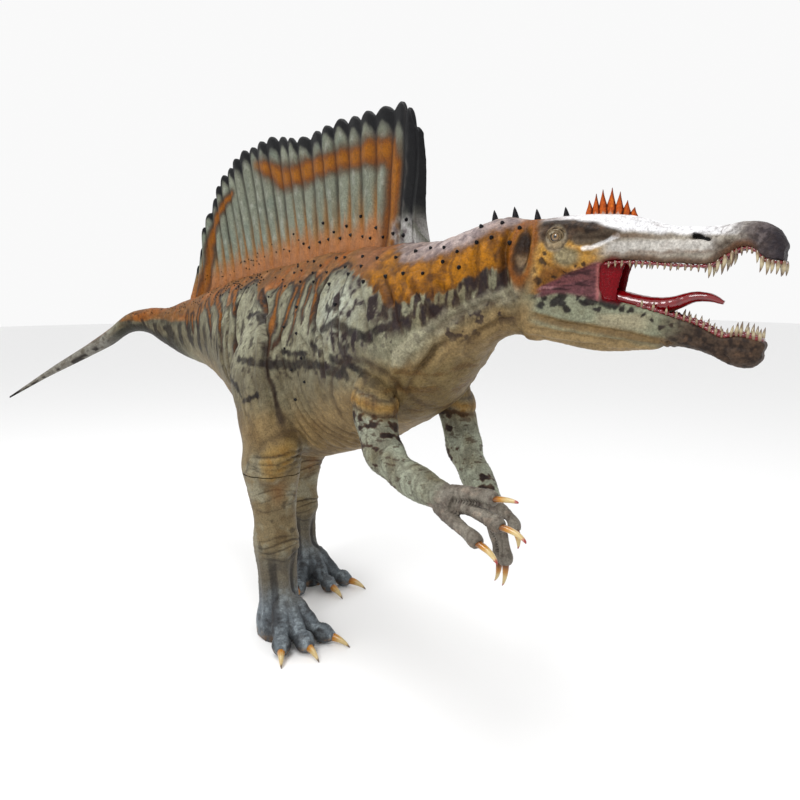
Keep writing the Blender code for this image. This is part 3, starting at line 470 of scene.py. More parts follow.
def attribute(piece, name, values):
    """Stores a number or a colour for each point of a piece."""
    values = np.asarray(values, np.float32)
    kind = "FLOAT" if values.ndim == 1 else "FLOAT_COLOR"
    made = piece.data.attributes.new(name, kind, "POINT")
    if kind == "FLOAT":
        made.data.foreach_set("value", values)
    else:
        opaque = np.ones((len(values), 1), np.float32)
        made.data.foreach_set("color", np.concatenate([values, opaque], 1).ravel())


def taken(piece, name):
    """The numbers of an attribute, which is then removed."""
    found = np.empty(len(piece.data.vertices), np.float32)
    piece.data.attributes[name].data.foreach_get("value", found)
    piece.data.attributes.remove(piece.data.attributes[name])
    return found.astype(float)


def finished(piece, slot, material, *nodes):
    """Gives a piece its name, its material and its place in the frame."""
    piece.name = piece.data.name = "painted_" + nodes[0]
    piece.data.materials.clear()
    piece.data.materials.append(material)
    select_only(piece)
    bpy.ops.object.shade_smooth_by_angle(angle=math.radians(60))
    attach(piece, "root")
    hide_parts(*nodes)
    return piece


def body_rings(places, tops, bottoms, half_widths, widest, roof, floor, sides):
    """Rings across the straightened spine, as (along, side, height)."""
    angle = 2 * np.pi * (np.arange(sides) + 0.5) / sides
    places = np.asarray(places, float)[:, None]
    top, bottom, half = (smooth(knots, places) for knots in (tops, bottoms, half_widths))
    share = smooth(widest, places) if isinstance(widest, tuple) else widest
    middle = bottom + share * (top - bottom)
    upper = np.sin(angle) > 0
    square = np.where(upper, roof, floor)
    across = half * power(np.cos(angle), 2 / square)
    height = middle + np.where(upper, top - middle, middle - bottom) * power(np.sin(angle), 2 / square)
    return np.stack([np.broadcast_to(places, across.shape), across, height], -1)


def rings_across(centres, wide, high, sides, up=(0, 0, 1)):
    """Rings square to a path of points."""
    centres = np.asarray(centres, float)
    ahead = np.gradient(centres, axis=0)
    ahead /= np.linalg.norm(ahead, axis=1, keepdims=True)
    left = np.cross(up, ahead)
    left /= np.linalg.norm(left, axis=1, keepdims=True)
    above = np.cross(ahead, left)
    angle = 2 * np.pi * (np.arange(sides) + 0.5) / sides
    return (
        centres[:, None] + left[:, None] * (np.cos(angle)[None] * np.asarray(wide)[:, None])[..., None]
        + above[:, None] * (np.sin(angle)[None] * np.asarray(high)[:, None])[..., None]
    )


def leg_tube(name, stations, rings=76, sides=40, roundness=0.9):
    """One leg from the hip to the sole, a smooth curve through its stations."""
    stations = np.array(stations)[::-1]
    heights = np.linspace(0, LEG_TOP, rings)
    x, y, long, wide = (smooth(stations[:, (0, i)], heights)[:, None] for i in (1, 2, 3, 4))
    angle = 2 * np.pi * (np.arange(sides) + 0.5) / sides
    return rolled(name, HIP + np.stack([
        x + long * power(np.cos(angle), roundness), y + wide * power(np.sin(angle), roundness),
        np.broadcast_to(heights[:, None], (rings, sides)),
    ], -1))


def toe_direction(foot, spread):
    """Which way a toe points."""
    angle = math.radians(foot.heading + spread)
    return np.array((math.cos(angle), math.sin(angle), 0.0))


def toe_tube(name, foot, spread):
    """One toe, with knuckle pads, flat where it meets the ground."""
    out = np.linspace(0, TOE_LENGTH, 40)
    stations = np.array(TOE_STATIONS)
    height, wide, high = (smooth(stations[:, (0, i)], out) for i in (1, 2, 3))
    swell = 1 + 0.10 * np.cos((out - 0.235) / 0.09 * 2 * np.pi) * step(0.08, 0.16, out)
    centres = np.array((foot.x, foot.y, 0)) + toe_direction(foot, spread) * out[:, None]
    centres[:, 2] = height
    rings = rings_across(centres, wide * swell, high * swell, 24)
    rings[..., 2] = np.maximum(rings[..., 2], 0.0)
    return rolled(name, rings + HIP)


def limb_tube(name, points, sides=32, steps=12):
    """A tube through points with a radius each: an arm or a finger."""
    path = rounded_path(points, steps)
    return rolled(name, rings_across(path[:, :3], path[:, 3], path[:, 3], sides, up=(0, 1, 0)) + HIP)


# Colours of the painted hide that several markings share.
PALE = srgb(154, 153, 134)
GREY = srgb(108, 104, 86)
OLIVE = srgb(112, 98, 64)
BROWN = srgb(74, 52, 36)
PINK = srgb(142, 102, 78)
BLACK = srgb(32, 26, 26)
PURPLE = srgb(50, 40, 44)


def settings(group):
    """The sizes and colours that the panel's user may change."""
    return getattr(bpy.context.scene, "spinosaurus_" + group)


class Paint:
    """Colours laid over one another on the points of a piece, and how rough they are."""

    def __init__(self, count, colour, rough_value=0.5):
        self.colour = np.tile(np.array(colour), (count, 1))
        self.roughness = np.full(count, rough_value)

    def lay(self, colour, amount):
        amount = np.clip(amount, 0, 1)[:, None]
        self.colour += (np.array(colour) - self.colour) * amount

    def shade(self, factor):
        self.colour *= np.asarray(factor)[:, None]

    def rub(self, roughness, amount):
        self.roughness += (roughness - self.roughness) * np.clip(amount, 0, 1)

    def put_on(self, piece, depth=1.28, strength=1.06):
        """Deepens the colours, the dark ones most, and stores them on the points."""
        grey = self.colour.mean(1, keepdims=True)
        colour = np.clip(grey + strength * (self.colour - grey), 0, 1)
        attribute(piece, "paint", np.clip(1.08 * colour ** depth, 0, 1))
        attribute(piece, "gloss", np.clip(self.roughness, 0.05, 1))


# Folds in the skin: line, depth, width. Stripes, dark lines and smears of paint: line, half width.
BODY_FOLDS = (
    (((-0.22, 1.61), (-0.09, 1.53), (0.04, 1.40), (0.08, 1.31), (0.14, 1.19), (0.18, 1.06), (0.20, 0.93)),
     0.020, 0.017),
    (((0.06, 1.42), (0.13, 1.28), (0.19, 1.15), (0.235, 1.02), (0.25, 0.90)), 0.012, 0.013),
    (((0.10, 1.45), (0.18, 1.28), (0.245, 1.14), (0.30, 1.02), (0.33, 0.92)), 0.009, 0.013),
    (((0.15, 1.34), (0.25, 1.20), (0.33, 1.09), (0.42, 1.00)), 0.006, 0.013),
    (((0.20, 1.06), (0.245, 0.96), (0.25, 0.88)), 0.010, 0.011),
    (((0.22, 1.25), (0.27, 1.12), (0.33, 1.02), (0.41, 0.94)), 0.007, 0.011),
    (((0.27, 1.23), (0.32, 1.10), (0.39, 1.00), (0.49, 0.93)), 0.006, 0.011),
    (((0.33, 1.19), (0.39, 1.08), (0.47, 0.99), (0.58, 0.93)), 0.006, 0.011),
    (((0.40, 1.16), (0.47, 1.06), (0.56, 0.99), (0.66, 0.95)), 0.005, 0.011),
    (((0.46, 1.48), (0.55, 1.41), (0.58, 1.33), (0.57, 1.25)), 0.013, 0.014),
    (((0.31, 1.44), (0.43, 1.37), (0.47, 1.28)), 0.008, 0.014),
    (((-0.48, 1.63), (-0.45, 1.50), (-0.38, 1.36), (-0.25, 1.24), (-0.22, 1.10)), 0.016, 0.018),
    (((-0.60, 1.56), (-0.53, 1.42), (-0.50, 1.26), (-0.46, 1.10)), 0.010, 0.016),
    (((-0.70, 1.52), (-0.64, 1.38), (-0.58, 1.22), (-0.52, 1.10)), 0.010, 0.015),
    (((0.42, 1.68), (0.40, 1.59), (0.44, 1.50), (0.48, 1.41)), 0.014, 0.016),
    (((0.60, 1.62), (0.68, 1.50), (0.70, 1.38)), 0.008, 0.016),
    (((0.74, 1.66), (0.84, 1.55), (0.90, 1.42)), 0.009, 0.015),
    (((0.88, 1.68), (0.98, 1.56), (1.02, 1.44)), 0.010, 0.013),
    (((0.99, 1.66), (1.08, 1.56), (1.12, 1.50)), 0.008, 0.011),
    (((1.10, 1.66), (1.19, 1.58), (1.25, 1.54)), 0.007, 0.010),
    (((1.07, 1.35), (1.10, 1.41), (1.13, 1.43), (1.14, 1.46)), 0.012, 0.011),
    (((1.04, 1.33), (1.09, 1.40), (1.11, 1.43)), 0.012, 0.010),
    (((1.16, 1.39), (1.19, 1.43), (1.23, 1.48), (1.30, 1.52), (1.38, 1.53)), 0.013, 0.011),
    (((1.11, 1.31), (1.16, 1.37), (1.24, 1.44), (1.31, 1.47)), 0.011, 0.011),
    (((0.98, 1.25), (1.03, 1.33), (1.08, 1.38)), 0.011, 0.012),
    (((0.90, 1.19), (0.98, 1.30), (1.03, 1.40)), 0.011, 0.013),
    (((1.05, 1.42), (1.15, 1.52), (1.26, 1.58), (1.38, 1.60)), 0.010, 0.012),
    (((1.33, 1.84), (1.325, 1.75), (1.335, 1.66), (1.36, 1.58)), 0.014, 0.013),
    (((1.24, 1.80), (1.22, 1.72), (1.24, 1.62)), 0.006, 0.012),
)
SHOULDER_RING = (
    (0.60, 1.10), (0.605, 1.20), (0.64, 1.29), (0.73, 1.35), (0.86, 1.36), (0.95, 1.31), (0.985, 1.22),
    (0.97, 1.14),
)
BAND_EDGE = (
    (-1.9, 1.40), (-1.6, 1.42), (-1.35, 1.42), (-1.11, 1.44), (-0.95, 1.53), (-0.89, 1.51),
    (-0.83, 1.585), (-0.77, 1.605), (-0.70, 1.585), (-0.62, 1.52), (-0.55, 1.60), (-0.42, 1.645),
    (-0.30, 1.63), (-0.22, 1.56), (-0.13, 1.61), (-0.05, 1.625), (0.02, 1.57), (0.06, 1.625),
    (0.11, 1.635), (0.16, 1.575), (0.21, 1.655), (0.27, 1.672), (0.34, 1.61), (0.41, 1.68),
    (0.52, 1.705), (0.62, 1.70), (0.72, 1.67), (0.80, 1.655), (0.87, 1.62), (0.96, 1.575), (1.06, 1.59),
    (1.16, 1.62), (1.25, 1.67), (1.34, 1.70), (1.44, 1.72),
)
STRIPES = (
    (((-1.25, 1.46), (-1.22, 1.36)), 0.012),
    (((-1.17, 1.46), (-1.14, 1.36)), 0.012),
    (((-1.08, 1.50), (-1.06, 1.38)), 0.014),
    (((-0.99, 1.54), (-0.88, 1.45), (-0.80, 1.34)), 0.014),
    (((-0.89, 1.58), (-0.78, 1.52), (-0.67, 1.45), (-0.61, 1.36), (-0.57, 1.24)), 0.017),
    (((-0.61, 1.60), (-0.52, 1.54), (-0.42, 1.46), (-0.37, 1.34), (-0.33, 1.24)), 0.015),
    (((-0.22, 1.60), (-0.15, 1.56), (-0.06, 1.49)), 0.010),
    (((-0.02, 1.60), (0.02, 1.50), (0.06, 1.42), (0.09, 1.33)), 0.015),
    (((0.15, 1.62), (0.14, 1.49), (0.11, 1.36)), 0.013),
    (((0.20, 1.64), (0.23, 1.50), (0.23, 1.39)), 0.013),
    (((0.33, 1.66), (0.40, 1.54), (0.42, 1.44)), 0.014),
    (((0.28, 1.62), (0.29, 1.54), (0.32, 1.47)), 0.008),
)
DARK_LINES = (
    (((-0.48, 1.64), (-0.46, 1.50), (-0.38, 1.36), (-0.27, 1.25)), 0.012),
    (((-0.22, 1.61), (-0.09, 1.53), (0.04, 1.40), (0.08, 1.31), (0.14, 1.19), (0.18, 1.06), (0.20, 0.95)),
     0.010),
    (((0.42, 1.69), (0.40, 1.59), (0.44, 1.50), (0.48, 1.41)), 0.011),
    (((-0.52, 1.62), (-0.42, 1.66), (-0.30, 1.645)), 0.008),
    (((0.43, 1.70), (0.53, 1.72), (0.62, 1.705)), 0.007),
    (((0.06, 1.635), (0.10, 1.648), (0.15, 1.60)), 0.006),
    (((0.21, 1.665), (0.26, 1.685), (0.32, 1.64)), 0.006),
    (((-0.08, 1.60), (-0.04, 1.645), (0.01, 1.60)), 0.006),
    (((-0.82, 1.58), (-0.76, 1.618), (-0.70, 1.59)), 0.007),
    (((-0.95, 1.50), (-0.86, 1.40), (-0.80, 1.28)), 0.008),
    (((-0.74, 1.46), (-0.70, 1.36), (-0.68, 1.24)), 0.008),
    (((0.62, 1.68), (0.66, 1.60), (0.64, 1.53)), 0.007),
    (((0.56, 1.60), (0.58, 1.53), (0.55, 1.46)), 0.006),
)
SMEARS = (
    (((0.09, 1.29), (0.25, 1.285), (0.43, 1.315), (0.61, 1.305), (0.74, 1.30)), 0.026),
    (((0.16, 1.335), (0.28, 1.34), (0.40, 1.355)), 0.014),
    (((-0.12, 1.29), (0.04, 1.285)), 0.018),
    (((-0.02, 1.11), (0.10, 1.14)), 0.015),
    (((-0.20, 1.20), (-0.10, 1.17), (-0.04, 1.13)), 0.013),
    (((-0.24, 1.48), (-0.14, 1.50), (-0.05, 1.48)), 0.016),
    (((0.55, 1.47), (0.66, 1.49), (0.76, 1.47), (0.90, 1.45)), 0.022),
    (((0.92, 1.47), (1.00, 1.50)), 0.020),
    (((0.64, 1.36), (0.70, 1.345), (0.77, 1.335)), 0.016),
    (((0.80, 1.33), (0.87, 1.30), (0.95, 1.26)), 0.014),
    (((0.70, 1.42), (0.73, 1.39), (0.78, 1.41)), 0.016),
    (((0.46, 1.40), (0.55, 1.37)), 0.015),
    (((0.52, 1.56), (0.60, 1.54), (0.66, 1.56)), 0.014),
    (((-0.40, 1.26), (-0.32, 1.22)), 0.016),
)


def folds(u, v, lines):
    """How far the skin sinks into folds and swells beside them, nothing at a fold's two ends."""
    total = np.zeros(len(u))
    for line, depth, width in lines:
        away, share = near(u, v, line)
        fade = np.sqrt(np.clip(np.sin(np.pi * share), 0, 1))
        total += fade * depth * (0.55 * bump(away - 2.0 * width, width) - bump(away, 0.8 * width))
    return total


def ridged(points, size, seed):
    """Sharp creases between soft swellings, -1 in a crease to 0."""
    return -bump(rough(points, size, 2, seed), 0.22)


def back_level(along, height):
    """How far up the body a place lies, 0 at the belly and 1 at the back."""
    back, belly = smooth(BACK_HEIGHT, along), smooth(BELLY_HEIGHT, along)
    return (height - belly) / np.maximum(back - belly, 0.02)


def body_relief(points, place):
    """How far trunk, neck and tail stand out from their smooth form, and how deep their creases are."""
    along, side, height = place.T
    thick = np.clip(smooth(BACK_HEIGHT, along) - smooth(BELLY_HEIGHT, along), 0, 0.6) / 0.6
    u = along + 0.012 * rough(points, 0.10, 2, 1)
    v = height + 0.012 * rough(points, 0.10, 2, 2)
    flank = step(0.02, 0.10, np.abs(side))
    shaped = 0.013 * rough(points, 0.34, 2, 3) * thick + 0.006 * rough(points, 0.12, 2, 4) * thick
    shoulder = bump(np.hypot((u - 0.60) / 0.20, (v - 1.52) / 0.20), 1.0)
    haunch = bump(np.hypot((u + 0.32) / 0.14, (v - 1.45) / 0.22), 1.0)
    shaped += 0.014 * (shoulder + 0.8 * haunch) * flank
    deep = folds(u, v, BODY_FOLDS) * flank
    away, share = near(u, v, SHOULDER_RING)
    ring = -0.007 * bump(away, 0.014)
    deep += ring * np.sqrt(np.clip(np.sin(np.pi * share), 0, 1)) * flank
    slanted = np.stack([along + 0.5 * height, side, height - 0.4 * along], 1)
    creases = (
        ridged(slanted, (0.050, 0.09, 0.20), 5) * (0.4 + 0.6 * step(-0.2, 0.5, noise(points, 0.25, 6))))
    crossed = ridged(points, (0.034, 0.034, 0.026), 8)
    fine = 0.0022 * creases * np.minimum(thick * 1.6, 1)
    fine += (0.0016 * rough(points, 0.024, 2, 7) + 0.0012 * crossed) * np.minimum(thick * 2, 1)
    depth = settings("hide").fold_depth
    return (shaped + deep + fine) * depth, np.minimum(deep * 70, 0) + creases * 0.5 + crossed * 0.25


class OnHide:
    """Where points lie on the hide, and the noise that its colours follow."""

    def __init__(self, points, place):
        self.points = points
        self.along, _, self.height = place.T
        self.level = back_level(self.along, self.height)
        self.blur = rough(points, 0.09, 3, 11)
        self.fine = rough(points, 0.026, 3, 12)
        self.streaky = rough(points, (0.030, 0.030, 0.085), 3, 22)
        self.u = self.along + 0.018 * rough(points, 0.09, 3, 13)
        self.v = self.height + 0.018 * rough(points, 0.09, 3, 14)
        self.edge = smooth(BAND_EDGE, self.u)
        self.over = self.v - self.edge + 0.006 * self.fine
        lobed = self.over + 0.040 * self.streaky * step(0.50, 0.66, self.u)
        self.band = step(-0.008, 0.012, lobed) * step(-2.15, -1.85, self.along)


def paint_flanks(paint, hide, at):
    """The grey-green ground with a tan belly, palest on the haunch and the shoulder."""
    points, u, v, along, level = at.points, at.u, at.v, at.along, at.level
    blur, fine, streaky = at.blur, at.fine, at.streaky
    paint.lay(GREY, 0.42 + 0.55 * blur + 0.4 * fine)
    paint.lay(OLIVE, step(0.15, 0.6, rough(points, 0.16, 3, 15)) * 0.6)
    low = step(0.40, 0.16, level + 0.08 * blur) * step(-1.5, -0.7, along)
    paint.lay(hide.belly_colour, low * 0.85)
    paint.lay(srgb(92, 72, 46), low * step(0.1, 0.6, rough(points, 0.12, 3, 16)) * 0.45)
    paint.lay(srgb(96, 80, 58), bump(level - 0.42, 0.17) * 0.38 * step(1.0, 0.7, along))
    pale = (
        step(-0.05, 0.25, streaky + 0.3 * blur) * step(1.20, 1.36, v) * step(0.95, 0.70, u)
        * step(-1.0, -0.8, u))
    paint.lay(hide.hide_colour, pale * 0.75)
    haunch = bump(np.hypot(u + 0.12, (v - 1.42) * 0.7), 0.13)
    paint.lay(srgb(160, 160, 142), haunch * 0.7)
    shoulder = bump(np.hypot((u - 0.62) / 0.20, (v - 1.55) / 0.13), 1.0)
    paint.lay(srgb(176, 180, 168), shoulder * 0.92 * step(-0.6, 0.1, fine))


def paint_back(paint, hide, at):
    """The orange band down the back, dark along its lobed lower edge."""
    points, u, along, over, band, streaky = at.points, at.u, at.along, at.over, at.band, at.streaky
    rim = step(-0.055, -0.004, over) * step(0.012, -0.002, over) * step(-1.9, -1.6, along)
    paint.lay(BLACK, rim * (0.45 + 0.5 * streaky) * step(0.85, 0.75, u))
    paint.lay(hide.back_colour, band)
    paint.lay(srgb(150, 94, 32), band * step(-0.1, 0.5, rough(points, 0.06, 3, 17)) * 0.75)
    paint.lay(srgb(176, 136, 102), band * step(0.1, 0.6, rough(points, (0.05, 0.05, 0.02), 3, 23)) * 0.55)
    paint.lay(srgb(96, 62, 42), band * step(0.25, 0.65, rough(points, 0.035, 3, 24)) * 0.5)


def paint_markings(paint, at):
    """Dark-edged stripes, thin dark lines and broad smears."""
    points, u, v, fine, streaky = at.points, at.u, at.v, at.fine, at.streaky
    for line, half in STRIPES:
        away, share = near(u, v, line)
        half = half * 1.3 * (1 - 0.35 * share)
        edges = step(half + 0.020, half + 0.004, away + 0.006 * fine)
        paint.lay(BLACK, edges * (0.72 + 0.35 * streaky) * step(1.0, 0.80, share))
        paint.lay(BROWN, step(half + 0.004, half * 0.5, away))
        paint.lay(srgb(140, 94, 30), step(half, half * 0.3, away) * step(0.98, 0.45, share) * 0.95)
    for line, half in DARK_LINES:
        away, share = near(u, v, line)
        paint.lay(BLACK, step(half * 1.6, half * 0.5, away) * (0.80 + 0.5 * fine) * step(1.0, 0.85, share))
    ragged = 0.016 * rough(points, (0.022, 0.022, 0.050), 3, 25)
    for line, half in SMEARS:
        away, _ = near(u, v, line)
        paint.lay(BLACK, step(half * 1.25, half * 0.55, away + ragged) * (0.85 + 0.3 * fine))


def paint_mottles(paint, at):
    """Dark mottles over the shoulder, and a ragged dark zone under the neck's band."""
    points, u, v, over = at.points, at.u, at.v, at.over
    spots = rough(points, (0.030, 0.030, 0.042), 4, 18)
    low_end = smooth(((0.4, 1.30), (0.6, 1.22), (0.8, 1.33), (1.0, 1.42), (1.4, 1.50)), u)
    region = (
        step(0.48, 0.60, u) * step(1.02, 0.90, u) * step(0.01, -0.01, over)
        * step(low_end - 0.03, low_end + 0.05, v))
    wanted = 0.20 - 0.22 * step(-0.20, -0.04, over) * step(0.72, 0.90, u)
    paint.lay(srgb(96, 88, 86), region * step(wanted - 0.14, wanted + 0.02, spots) * 0.55)
    paint.lay(PURPLE, region * step(wanted, wanted + 0.10, spots) * 0.95)
    drips = rough(points, (0.020, 0.020, 0.055), 3, 27)
    ragged_zone = step(0.86, 0.98, u) * step(1.42, 1.36, u)
    ragged_zone *= step(-0.155, -0.085, over + 0.06 * drips) * step(0.034, 0.004, over + 0.04 * drips)
    paint.lay(srgb(66, 54, 46), ragged_zone * (0.88 - 0.85 * step(0.0, 0.22, drips)))
    paint.lay(PURPLE, ragged_zone * step(-0.02, -0.22, drips) * 0.85)
    spotted = step(0.90, 1.0, u) * step(1.42, 1.34, u) * step(-0.23, -0.13, over) * step(-0.04, -0.08, over)
    paint.lay(PURPLE, spotted * step(0.20, 0.32, rough(points, 0.032, 3, 28)) * 0.85)


def paint_neck_band(paint, hide, at):
    """The bright part of the band on the neck, under a pale top line."""
    points, u, v, over, band = at.points, at.u, at.v, at.over, at.band
    blur, fine, streaky = at.blur, at.fine, at.streaky
    neck = step(0.72, 0.84, u)
    centre = at.edge + 0.075
    paint.lay(srgb(176, 170, 172), neck * step(0.125, 0.165, over) * (0.62 + 0.3 * blur))
    paint.lay(srgb(108, 98, 102), neck * step(0.12, 0.16, over) * step(-0.1, 0.4, fine) * 0.6)
    paint.lay(srgb(112, 84, 66), neck * band * bump(over - 0.125, 0.030) * 0.6)
    glow = neck * band * step(0.155, 0.115, over + 0.02 * fine)
    paint.lay(srgb(122, 84, 20), glow)
    paint.lay(hide.neck_colour, glow * step(0.080, 0.035, np.abs(v - centre) + 0.03 * fine))
    paint.lay(srgb(98, 64, 16), glow * step(0.0, 0.4, rough(points, 0.045, 3, 30)) * 0.7)
    paint.lay(srgb(70, 42, 24), glow * step(0.20, 0.45, streaky) * step(0.10, 0.0, over) * 0.8)
    lines = (
        step(0.82, 0.95, np.sin(u * 74 + 2.0 * blur + v * 6)) * step(0.86, 0.96, u) * step(1.40, 1.34, u))
    paint.lay(srgb(84, 56, 34), lines * glow * 0.45)
    paint.lay(PINK, band * step(0.50, 0.60, u) * step(0.86, 0.78, u) * step(0.02, 0.05, over) * 0.5)


def paint_throat_side(paint, at):
    """The lower half of the neck: olive and tan, with a long pale streak."""
    points, u, v, over, fine = at.points, at.u, at.v, at.over, at.fine
    lower = step(0.80, 0.98, u) * step(-0.20, -0.27, over)
    paint.lay(srgb(126, 112, 82), lower * 0.85)
    paint.lay(srgb(108, 84, 50), lower * step(0.05, 0.4, rough(points, (0.09, 0.09, 0.03), 3, 26)) * 0.6)
    streak, _ = near(u, v, ((0.98, 1.36), (1.08, 1.47), (1.20, 1.56), (1.36, 1.62)))
    paint.lay(srgb(168, 164, 144), step(0.034, 0.008, streak + 0.02 * fine) * 0.6)
    fold, _ = near(u, v, SHOULDER_RING)
    paint.lay(srgb(60, 40, 26), bump(fold, 0.013) * 0.40)


def paint_tail(paint, at):
    """Short dark stripes, a dark underside, pale spots and a black tip."""
    points, along, height, level = at.points, at.along, at.height, at.level
    blur, fine = at.blur, at.fine
    tail = step(-0.80, -1.0, along)
    bars = step(-0.15, 0.35, np.sin((along + 0.30 * height) * 46 + 3.0 * blur) + 0.6 * fine)
    bars = bars * step(0.22, 0.34, level) * step(0.66, 0.54, level)
    paint.lay(BLACK, tail * bars * step(-2.05, -1.8, along) * 0.75)
    under = step(0.44, 0.24, level + 0.1 * blur) * step(-1.2, -1.5, along) * step(-2.35, -2.05, along)
    paint.lay(srgb(48, 48, 40), under * 0.9)
    far = step(-1.95, -2.15, along)
    paint.lay(srgb(146, 144, 138), far * 0.85)
    paint.lay(srgb(104, 98, 88), far * step(0.0, 0.4, fine) * 0.7)
    paint.lay(srgb(128, 86, 50), far * step(0.70, 0.9, level) * step(-2.35, -2.1, along) * 0.5)
    paint.lay(BLACK, far * step(0.5, 0.2, level) * step(0.05, 0.3, rough(points, 0.05, 2, 19)) * 0.85)
    paint.lay(BLACK, step(-2.72, -2.80, along))


def paint_body(points, place, creases):
    """The whole hide, with speckles, and with paint that has settled in the creases."""
    hide = settings("hide")
    at = OnHide(points, place)
    u, v, over, level = at.u, at.v, at.over, at.level
    paint = Paint(len(points), hide.hide_colour, 0.50)
    paint_flanks(paint, hide, at)
    paint_back(paint, hide, at)
    paint_markings(paint, at)
    paint_mottles(paint, at)
    paint_neck_band(paint, hide, at)
    paint_throat_side(paint, at)
    paint_tail(paint, at)
    paint.lay(BLACK, step(0.50, 0.70, rough(points, 0.028, 2, 20)) * 0.5 * step(0.2, 0.4, level))
    flank = step(1.15, 1.24, v) * step(0.02, -0.02, over) * step(-1.0, -0.8, u) * step(0.62, 0.5, u)
    paint.lay(srgb(46, 36, 34), flank * step(0.24, 0.36, rough(points, (0.020, 0.020, 0.034), 3, 29)) * 0.7)
    paint.lay(srgb(58, 42, 30), np.clip(-creases, 0, 1) * 0.62)
    paint.shade(1 + 0.20 * rough(points, 0.016, 2, 21))
    paint.rub(0.42, step(0.2, 0.8, at.blur))
    return paint


def leg_place(points, stations):
    """Height, the turn round the leg's middle line, and how far off it on the ground plan."""
    stations = np.array(stations)[::-1]
    z = np.clip(points[:, 2], 0, LEG_TOP)
    middle = np.stack([smooth(stations[:, (0, i)], z) for i in (1, 2)], 1) + HIP[:2]
    off = points[:, :2] - middle
    return z, np.arctan2(off[:, 1], off[:, 0]), off


LEG_BULGES = (        # height, how far the front stands out, the back, reach up and down
    (0.90, 0.004, 0.0, 0.07), (0.80, -0.010, 0.014, 0.06), (0.69, -0.022, 0.006, 0.06),
    (0.585, -0.030, -0.008, 0.075), (0.44, 0.006, 0.006, 0.050), (0.30, -0.004, -0.010, 0.06),
)
TENDON_COUNT = 5.0    # round the whole ankle
LEG_WRINKLES = (      # height, depth, width
    (0.875, 0.007, 0.009), (0.85, 0.008, 0.008), (0.828, 0.009, 0.008), (0.805, 0.008, 0.008),
    (0.70, 0.005, 0.008), (0.665, 0.005, 0.008), (0.62, 0.004, 0.007), (0.475, 0.006, 0.008),
    (0.45, 0.007, 0.008), (0.425, 0.006, 0.008), (0.385, 0.004, 0.008),
)


def knee_distance(z, turn):
    """How far from the knee cap's middle, 1 at its edge."""
    return np.hypot((z - 0.865 - 0.05 * turn) / 0.095, (turn + 0.28) / 0.66)


def wrinkles(points, z, turn):
    """Each wrinkle round the leg: depth, width, how far above it the points are, and its strength there."""
    wavy = z + 0.012 * rough(points, 0.07, 2, 31)
    sides = step(1.6, 0.9, np.abs(turn))
    for height, depth, width in LEG_WRINKLES:
        above = wavy - height - 0.016 * np.sin(2 * turn + height * 30)
        yield depth, width, above, sides * (0.4 + 0.6 * step(-0.4, 0.5, noise(points, 0.09, height * 40)))


def near_leg(points, stations):
    """1 on the leg's own skin below the thigh, 0 on the trunk beside it."""
    z, _, off = leg_place(points, stations)
    stations = np.array(stations)[::-1]
    long, wide = (smooth(stations[:, (0, i)], z) for i in (3, 4))
    return step(1.04, 0.94, points[:, 2]) * step(1.42, 1.18, np.hypot(off[:, 0] / long, off[:, 1] / wide))


def leg_relief(points, stations):
    """Muscles, knee and ankle wrinkles and the tendons that run into the toes."""
    z, turn, _ = leg_place(points, stations)
    front = np.cos(turn)
    relief = 0.006 * rough(points, 0.16, 2, 32)
    for height, ahead, behind, reach in LEG_BULGES:
        relief += bump(z - height, reach) * np.where(front > 0, ahead, behind) * np.abs(front) ** 1.2
    knee = knee_distance(z, turn)
    relief += 0.018 * bump(knee, 0.62) - 0.006 * bump(knee - 1.22, 0.22)
    ankle = bump(z - 0.44, 0.05) * bump(np.abs(turn) - 1.1, 0.5)
    relief += 0.008 * ankle
    for depth, width, above, strength in wrinkles(points, z, turn):
        relief += depth * strength * (0.5 * bump(above - 1.9 * width, width) - bump(above, width))
    tendons = np.cos(turn * TENDON_COUNT)
    relief += 0.014 * (tendons - 0.3) * step(0.46, 0.26, z) * step(0.05, 0.14, z) * step(-0.2, 0.5, front)
    return relief


def leg_fine(points, stations):
    """Close transverse creases down the shin, 0 in a swelling and -1 in a crease."""
    _, turn, _ = leg_place(points, stations)
    squeezed = np.stack([points[:, 0], points[:, 1], points[:, 2] - 0.03 * np.cos(turn)], 1)
    return ridged(squeezed, (0.10, 0.10, 0.020), 33)


def toe_places(points, foot):
    """How far out along the nearest toe points are, and how far across it."""
    off = points[:, :2] - (np.array((foot.x, foot.y)) + HIP[:2])
    best = None
    for spread in foot.spreads:
        ahead = toe_direction(foot, spread)
        row = np.stack([off @ ahead[:2], off @ np.array((-ahead[1], ahead[0]))])
        if best is None:
            best = row
        best = np.where((np.abs(row[1]) < np.abs(best[1])) & (row[0] > -0.02), row, best)
    return best


def toe_relief(points, foot):
    """Scute ladders over the toes, with grooves between them."""
    out, across = toe_places(points, foot)
    on_top = step(0.05, 0.08, points[:, 2]) * step(0.036, 0.024, np.abs(across)) * step(0.02, 0.08, out)
    on_top = on_top * step(0.17, 0.13, points[:, 2])
    rungs = np.abs(np.sin(np.pi * (out / 0.0145)))
    narrow = step(0.016, 0.010, np.abs(across))
    return on_top * narrow * (0.003 * rungs - 0.001), on_top * narrow * (rungs - 1)


